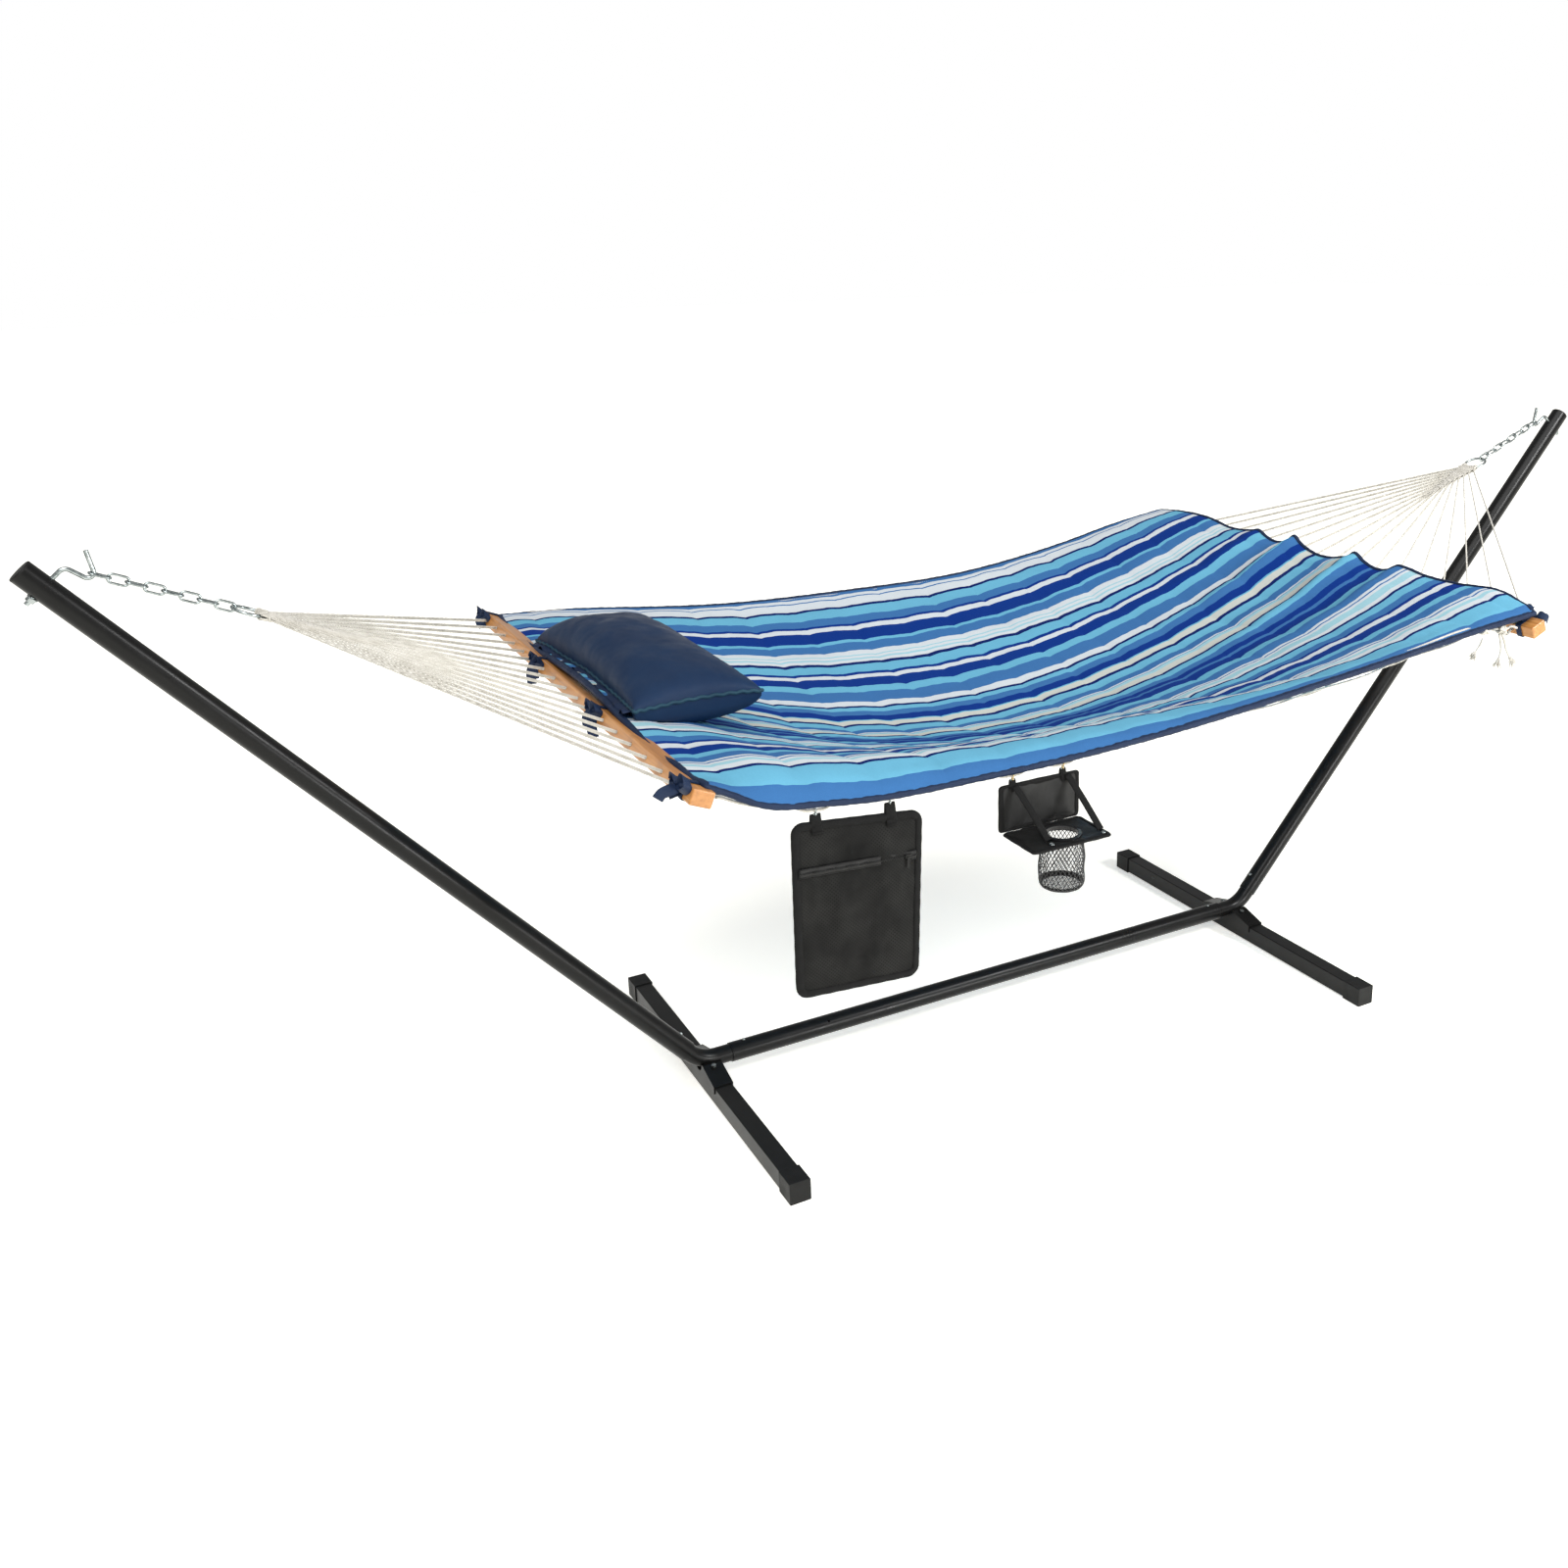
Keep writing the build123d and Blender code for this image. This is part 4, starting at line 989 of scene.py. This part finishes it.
def make_ruffle(edge):
    """Loose gathered strip sewn to the pillow's bar side."""
    line = smooth_line(edge[4:-4:6], 240)
    run = np.linspace(0, 1, len(line))
    flare = np.sin(run * 61) + 0.6 * np.sin(run * 37 + 1)
    rows = []
    for share in (0, 0.35, 0.7, 1):
        row = line.copy()
        row[:, 0] -= 0.002 + 0.017 * share
        row[:, 2] += (0.0055 * flare - 0.004) * share
        rows.append(row)
    upper = np.stack(rows, 0)
    piece("pillow_ruffle", closed_slab(upper, upper - UP * RUFFLE_THICK), "binding", "hammock")


make_pillow()


# ---- ties ---------------------------------------------------------------------------------------
BAR_HALF_DEPTH = 0.0195
BAR_HALF_THICK = 0.01375
TIE_YS = (-0.631, -0.191, 0.191, 0.631)
TIE_GAP = 0.0014


def make_ties():
    """Fabric ties: a band round the bar, a knot beside it, two loops and two hanging ends."""
    parts = []
    for side in SIDES:
        _, bar, along, above = pull_line(side)
        for index, y in enumerate(TIE_YS):
            draw = np.random.default_rng(70 + index + (10 if side == "right" else 0))
            place = bar + ACROSS * y
            a, b = BAR_HALF_DEPTH + TIE_GAP, BAR_HALF_THICK + TIE_GAP
            corners = [(-a, 0), (-a, b * 0.8), (-a * 0.8, b), (0, b), (a * 0.8, b), (a, b * 0.8), (a, 0),
                       (a, -b * 0.8), (a * 0.8, -b), (0, -b), (-a * 0.8, -b), (-a, -b * 0.8), (-a, 0)]
            band = [place + along * p + above * q for p, q in corners]
            parts.append(strap(smooth_line(band, 60), ACROSS, 0.014, 0.0014))
            knot = place - along * (a + 0.006) + above * 0.006
            u, v = np.meshgrid(np.linspace(0, 2 * math.pi, 17)[:-1], np.linspace(0.15, math.pi - 0.15, 9))
            lump = 1 + 0.15 * np.sin(3 * u + index) * np.sin(v)
            ball = (knot + (np.cos(u) * np.sin(v) * lump)[..., None] * along * 0.0075
                    + (np.sin(u) * np.sin(v) * lump)[..., None] * ACROSS * 0.0095
                    + np.cos(v)[..., None] * above * 0.008)
            faces = [tuple(range(16)), tuple(range(143, 127, -1))] + wrapped_faces(9, 16, False, True)
            parts.append((ball.reshape(-1, 3), faces))
            for way in (-1, 1):
                reach = draw.uniform(0.026, 0.034)
                lift = draw.uniform(0.004, 0.014)
                out = draw.uniform(0.002, 0.010)
                loop = [knot + ACROSS * way * 0.004,
                        knot + ACROSS * way * reach * 0.5 - along * out + above * (lift + 0.007),
                        knot + ACROSS * way * reach + above * lift * 0.4,
                        knot + ACROSS * way * reach * 0.55 - along * out * 0.4 + above * (-0.007),
                        knot + ACROSS * way * 0.004 - above * 0.002]
                width = above * 0.4 - along * 0.9
                parts.append(strap(smooth_line(loop, 30), width, 0.017, 0.0011))
                length = draw.uniform(0.036, 0.056) * (0.5 if index == 3 else 1)
                sway = draw.uniform(-0.008, 0.010)
                fall = np.array((0, 0, length * (0.55 if index == 0 else 1)))
                stray = -along * (0.034 if index == 0 and way < 0 else 0.0)
                tail = [knot + ACROSS * way * 0.003 - above * 0.002,
                        knot + ACROSS * way * 0.008 - along * 0.006 - fall * 0.25 + stray * 0.3,
                        knot + ACROSS * (way * 0.010 + sway * 0.5) - along * 0.010 - fall * 0.6 + stray * 0.7,
                        knot + ACROSS * (way * 0.010 + sway) - along * 0.008 - fall + stray]
                width = along + ACROSS * draw.uniform(-0.5, 0.2)
                parts.append(strap(smooth_line(tail, 26), width, 0.019, 0.0011))
            edge_x = PAD_LEFT + 0.008 if side == "left" else PAD_RIGHT - 0.012
            edge = np.array((edge_x, y, bed_height_at(edge_x, y) + 0.004))
            over = place + above * (b + 0.0015)
            turn = place - along * a * 0.9 + above * (b + 0.001)
            link = [knot + above * 0.004, turn, over + along * 0.006, edge]
            parts.append(strap(smooth_line(link, 24), ACROSS, 0.013, 0.0012))
    ties = piece("pad_tie_bows", joined(parts), "binding", "hammock")
    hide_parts("pad_ties")


make_ties()


# ---- storage bag --------------------------------------------------------------------------------
BAG_OUTLINE = ((-0.791, 0.840), (-0.553, 0.817), (-0.565, 0.514), (-0.793, 0.530))
BAG_Y = -0.641
BAG_CORNER = 0.022


def rounded_outline(corners, radius, steps=8):
    """Closed outline in X and Z with rounded corners, and evenly spaced points on its sides."""
    points = []
    corners = [np.array(c, float) for c in corners]
    for i, corner in enumerate(corners):
        before, after = corners[i - 1], corners[(i + 1) % len(corners)]
        into, out = unit(corner - before), unit(after - corner)
        start, end = corner - into * radius, corner + out * radius
        for t in np.linspace(0, 1, steps):
            points.append((1 - t) ** 2 * start + 2 * t * (1 - t) * corner + t * t * end)
        length = np.linalg.norm(after - corner) - 2 * radius
        for t in np.linspace(0, 1, int(length / 0.006))[1:-1]:
            points.append(end + out * length * t)
    return np.array(points)


def bag_surface(outline, rings, bulge, face, seed):
    """Shallow dome over the outline: rings that shrink towards its middle."""
    centre = outline.mean(0)
    layers = []
    for k in range(rings + 1):
        share = 1 - k / rings
        xz = centre + (outline - centre) * max(share, 0.02)
        depth = bulge * (1 - share ** 4)
        fold = 0.0034 * lattice_noise(xz[:, 0] * 24, xz[:, 1] * 12, seed)
        fold += 0.0018 * lattice_noise(xz[:, 0] * 70, xz[:, 1] * 26, seed + 1)
        belly = 1 + 0.5 * np.clip((0.66 - xz[:, 1]) / 0.15, 0, 1)
        y = BAG_Y + face * (0.0012 + depth * belly + fold * min(1, 3 * (1 - share)))
        layers.append(np.stack([xz[:, 0], y, xz[:, 1]], -1))
    return np.array(layers)


def ring_faces(layers, count, start=0, flip=False):
    """Quads between rings that shrink towards a middle, and one face over the last ring."""
    faces = wrapped_faces(layers, count, False)
    faces.append(tuple(range((layers - 1) * count, layers * count)))
    faces = [tuple(start + i for i in face) for face in faces]
    return [face[::-1] for face in faces] if flip else faces


def domed_body(outline, rings, domes):
    """Two domes back to back on one outline. domes gives each its rise, its side and its seed."""
    layers, count = rings + 1, len(outline)
    faces = ring_faces(layers, count, 0, True) + ring_faces(layers, count, layers * count)
    for j in range(count):
        k = (j + 1) % count
        faces.append((j, k, layers * count + k, layers * count + j))
    sides = [bag_surface(outline, rings, bulge, face, seed).reshape(-1, 3) for bulge, face, seed in domes]
    return np.concatenate(sides), faces


def make_bag():
    outline = rounded_outline(BAG_OUTLINE, BAG_CORNER)
    body = domed_body(outline, 26, ((0.0046, -1, 21), (0.0040, 1, 24)))
    shell = piece("storage_pocket", body, "mesh", "storage_bag")
    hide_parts("bag_body")
    rim = np.stack([outline[:, 0], np.full(len(outline), BAG_Y), outline[:, 1]], -1)
    outward = unit(np.cross(np.roll(rim, -1, 0) - np.roll(rim, 1, 0), ACROSS))
    outward *= np.sign(np.sum(outward * (rim - rim.mean(0)), axis=1))[:, None]
    section = ((-0.011, -0.0040), (-0.008, -0.0052), (-0.001, -0.0048), (0.0022, -0.002), (0.0022, 0.002),
               (-0.001, 0.0048), (-0.008, 0.0052), (-0.011, 0.0040))
    ripple = 0.0005 * np.sin(np.arange(len(outline)) * 1.3)
    tape = folded_tape(rim, outward, ACROSS, section, ripple)
    piece("pocket_binding", tape, "webbing", "storage_bag")


def hanging_straps(name, node, body, xs, top_z, low_z, width):
    """Webbing loops that hold the small rings: down the front, with the fold at the top."""
    parts = []
    for x, top, low in zip(xs, top_z, low_z):
        line = [(x, BAG_Y + 0.0042, low), (x, BAG_Y + 0.0022, top - 0.010), (x, BAG_Y + 0.0006, top - 0.001),
                (x, BAG_Y - 0.0022, top - 0.010), (x + 0.0006, BAG_Y - 0.0072, low)]
        parts.append(strap(smooth_line(line, 40), (1, 0, 0), width, 0.0016))
        for dz in (0.0, 0.009):
            half, y, z = width * 0.38, BAG_Y - 0.0082, low + 0.004 + dz
            parts.append(tube([(x - half, y, z), (x + half, y, z)], 0.0005, 4))
    made = piece(name, joined(parts), "webbing", body)
    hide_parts(node)


ZIP_START, ZIP_END = np.array((-0.785, -0.6480, 0.755)), np.array((-0.567, -0.6480, 0.742))
ZIP_TEETH = 96
TOOTH_FACES = [(0, 1, 3, 2), (4, 6, 7, 5), (0, 4, 5, 1), (2, 3, 7, 6), (0, 2, 6, 4), (1, 5, 7, 3)]


def make_zip():
    """Zip tape on the bag's face with two rows of teeth."""
    start, end = ZIP_START, ZIP_END
    along = unit(end - start)
    above = np.cross(along, ACROSS)
    above *= np.sign(above[2])
    line = start + (end - start) * np.linspace(0, 1, 60)[:, None]
    line[:, 1] -= 0.0005 + 0.0006 * np.sin(np.arange(60) * 0.7)
    parts = [strap(line, above, 0.017, 0.0012)]
    for offset in (0.0068, -0.0068):
        parts.append(tube(line + above * offset - ACROSS * 0.0008, 0.0005, 4))
    for k in range(ZIP_TEETH):
        middle = start + (end - start) * ((k + 0.5) / ZIP_TEETH) - ACROSS * 0.0018
        middle = middle + above * (0.0007 if k % 2 else -0.0007)
        corners = [middle + along * a + above * b - ACROSS * c
                   for a in (-0.0007, 0.0007) for b in (-0.0013, 0.0013) for c in (-0.0008, 0.0008)]
        parts.append((np.array(corners), TOOTH_FACES))
    made = piece("zip_tape", joined(parts), "nylon", "storage_bag")
    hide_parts("zipper_track")


make_bag()
hanging_straps("bag_webbing", "bag_straps", "storage_bag",
               (-0.749, -0.612), (0.852, 0.844), (0.818, 0.804), 0.020)
make_zip()


# ---- drink tray ---------------------------------------------------------------------------------
CUP = (-0.305, -0.702)
CUP_LINES = 34
CUP_LOW, CUP_HIGH, CUP_TALL = 0.647, 0.7375, 0.0905
CUP_SLANT = 1.35
FLOOR_RADIUS = 0.0355
FLOOR_STEP = 0.0039
PANEL_CORNERS = ((-0.396, 0.827), (-0.229, 0.827), (-0.229, 0.741), (-0.396, 0.741))
SHELF_CORNERS = ((-0.394, -0.6475), (-0.231, -0.6475), (-0.231, -0.748), (-0.394, -0.748))
SHELF_Z = 0.740
SHELF_LAYERS = 14


def rim_tape(rim, side, reach, half):
    """Binding folded over a closed rim. side is the direction of the sheet's thickness."""
    section = ((-reach, 0.8), (-reach * 0.6, 1.0), (0, 0.9), (0.0018, 0.3), (0.0018, -0.3), (0, -0.9),
               (-reach * 0.6, -1.0), (-reach, -0.8))
    ripple = 0.0003 * np.sin(np.arange(len(rim)) * 1.1)
    return folded_tape(rim, unit(rim - rim.mean(0)), side, [(a, b * half) for a, b in section], ripple)


def make_panel():
    """Stiffened nylon back of the tray, a little buckled, with bound edges."""
    outline = rounded_outline(PANEL_CORNERS, 0.008)
    body = domed_body(outline, 12, ((0.0012, -1, 31), (0.0012, 1, 34)))
    panel = piece("tray_back", body, "nylon", "cup_tray")
    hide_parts("tray_panel")
    rim = np.stack([outline[:, 0], np.full(len(outline), BAG_Y), outline[:, 1]], -1)
    piece("tray_back_binding", rim_tape(rim, ACROSS, 0.008, 0.0030), "webbing", "cup_tray")


def make_shelf():
    """Folding nylon shelf round the cup's opening, with bound edges and eyelets where the straps end."""
    outline = rounded_outline(SHELF_CORNERS, 0.010)
    count = len(outline)
    away = outline - np.array(CUP)
    angle = np.arctan2(away[:, 1], away[:, 0])
    inner = np.array(CUP) + 0.0325 * np.stack([np.cos(angle), np.sin(angle)], -1)
    layers = []
    for face in (1, -1):
        for t in np.linspace(0, 1, SHELF_LAYERS):
            xy = outline * (1 - t) + inner * t
            wave = 0.0012 * lattice_noise(xy[:, 0] * 40, xy[:, 1] * 40, 41) * math.sin(math.pi * t)
            z = SHELF_Z + face * (0.0010 + 0.0010 * math.sin(math.pi * t)) + wave
            layers.append(np.stack([xy[:, 0], xy[:, 1], z], -1))
    rings = np.array(layers[:SHELF_LAYERS] + layers[:SHELF_LAYERS - 1:-1])
    cloth = rings.reshape(-1, 3), wrapped_faces(len(rings), count)
    shelf = piece("tray_shelf_cloth", cloth, "nylon", "cup_shelf")
    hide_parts("tray_shelf")
    rim = np.stack([outline[:, 0], outline[:, 1], np.full(count, SHELF_Z)], -1)
    piece("tray_shelf_binding", rim_tape(rim, UP, 0.007, 0.0026), "webbing", "cup_shelf")
    turn = np.linspace(0, 2 * math.pi, 24, endpoint=False)
    eyelets = []
    for x, y in ((-0.347, -0.733), (-0.241, -0.736)):
        ring = np.stack([x + 0.0035 * np.cos(turn), y + 0.0035 * np.sin(turn), np.full(24, 0.7432)], -1)
        eyelets.append(tube(ring, 0.0010, 8, True))
    piece("shelf_eyelets", joined(eyelets), "zinc", "cup_shelf")


def make_tray():
    make_panel()
    make_shelf()
    hanging_straps("tray_webbing", "tray_tabs", "cup_tray",
                   (-0.369, -0.263), (0.8375, 0.8385), (0.816, 0.816), 0.014)
    parts = []
    for (x0, z0), (x1, y1) in (((-0.367, 0.826), (-0.347, -0.722)), ((-0.256, 0.826), (-0.241, -0.728))):
        points = [(x0, -0.6465, z0), ((x0 + x1) / 2, (y1 - 0.6465) / 2, 0.788), (x1, y1, 0.7462)]
        parts.append(strap(smooth_line(points, 24), (1, 0, 0.1), 0.014, 0.0016))
    straps = piece("shelf_straps", joined(parts), "webbing", "cup_tray")
    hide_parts("tray_straps")
    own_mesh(straps)


def cup_radius(z):
    """Outline of the hanging mesh cup, narrow at the rim and at the floor of the cup."""
    return np.interp(z, (0.646, 0.649, 0.656, 0.700, 0.728, 0.738),
                     (0.0355, 0.0385, 0.0405, 0.0400, 0.0385, 0.0352))


def about_cup(reach, angle, z):
    """Points at a distance and an angle from the cup's axis."""
    return np.stack([CUP[0] + reach * np.cos(angle), CUP[1] + reach * np.sin(angle), z], -1)


def make_cup():
    """See-through cup knitted from two families of slanting threads, with two hems and a knitted floor."""
    parts = []
    z = np.linspace(CUP_LOW, CUP_HIGH, 26)
    height = (z - CUP_LOW) / CUP_TALL
    for way in (-1, 1):
        for k in range(CUP_LINES):
            angle = 2 * math.pi * k / CUP_LINES + way * height * CUP_SLANT
            sag = 0.0010 * np.sin(angle * 3 + z * 130) * np.sin(height * math.pi)
            parts.append(tube(about_cup(cup_radius(z) + sag, angle, z), 0.0007, 4))
    for k in range(-9, 10):
        offset = k * FLOOR_STEP
        half = math.sqrt(max(FLOOR_RADIUS ** 2 - offset ** 2, 1e-6))
        span = np.linspace(-half, half, 12)
        still = np.full_like(span, offset)
        for px, py in ((still, span), (span, still)):
            line = np.stack([CUP[0] + px, CUP[1] + py, np.full_like(span, 0.6468)], -1)
            parts.append(tube(line, 0.0006, 4))
    cup = piece("mesh_cup", joined(parts), "thread", "cup_shelf")
    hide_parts("cup_net")
    turn = np.linspace(0, 2 * math.pi, 72, endpoint=False)
    hems = []
    for z0, z1, grow in ((0.6462, 0.6545, 0.0012), (0.7335, 0.7385, 0.0010)):
        rows = []
        for level, out in ((z0, 0.0), (z0, grow), (z1, grow), (z1, 0.0)):
            level = np.full_like(turn, level)
            reach = cup_radius(level) - 0.0006 + out + 0.0003 * np.sin(turn * 9)
            rows.append(about_cup(reach, turn, level))
        hems.append(closed_band(rows))
    piece("cup_hems", joined(hems), "webbing", "cup_shelf")


make_tray()
make_cup()


# ---- floor --------------------------------------------------------------------------------------
def make_floor():
    mesh = bpy.data.meshes.new("studio_floor")
    size = 40.0
    corners = [(-size, -size, 0), (size, -size, 0), (size, size, 0), (-size, size, 0)]
    mesh.from_pydata(corners, [], [(0, 1, 2, 3)])
    mesh.materials.append(PAINT["floor"])
    floor = bpy.data.objects.new("studio_floor", mesh)
    scene.collection.objects.link(floor)


make_floor()
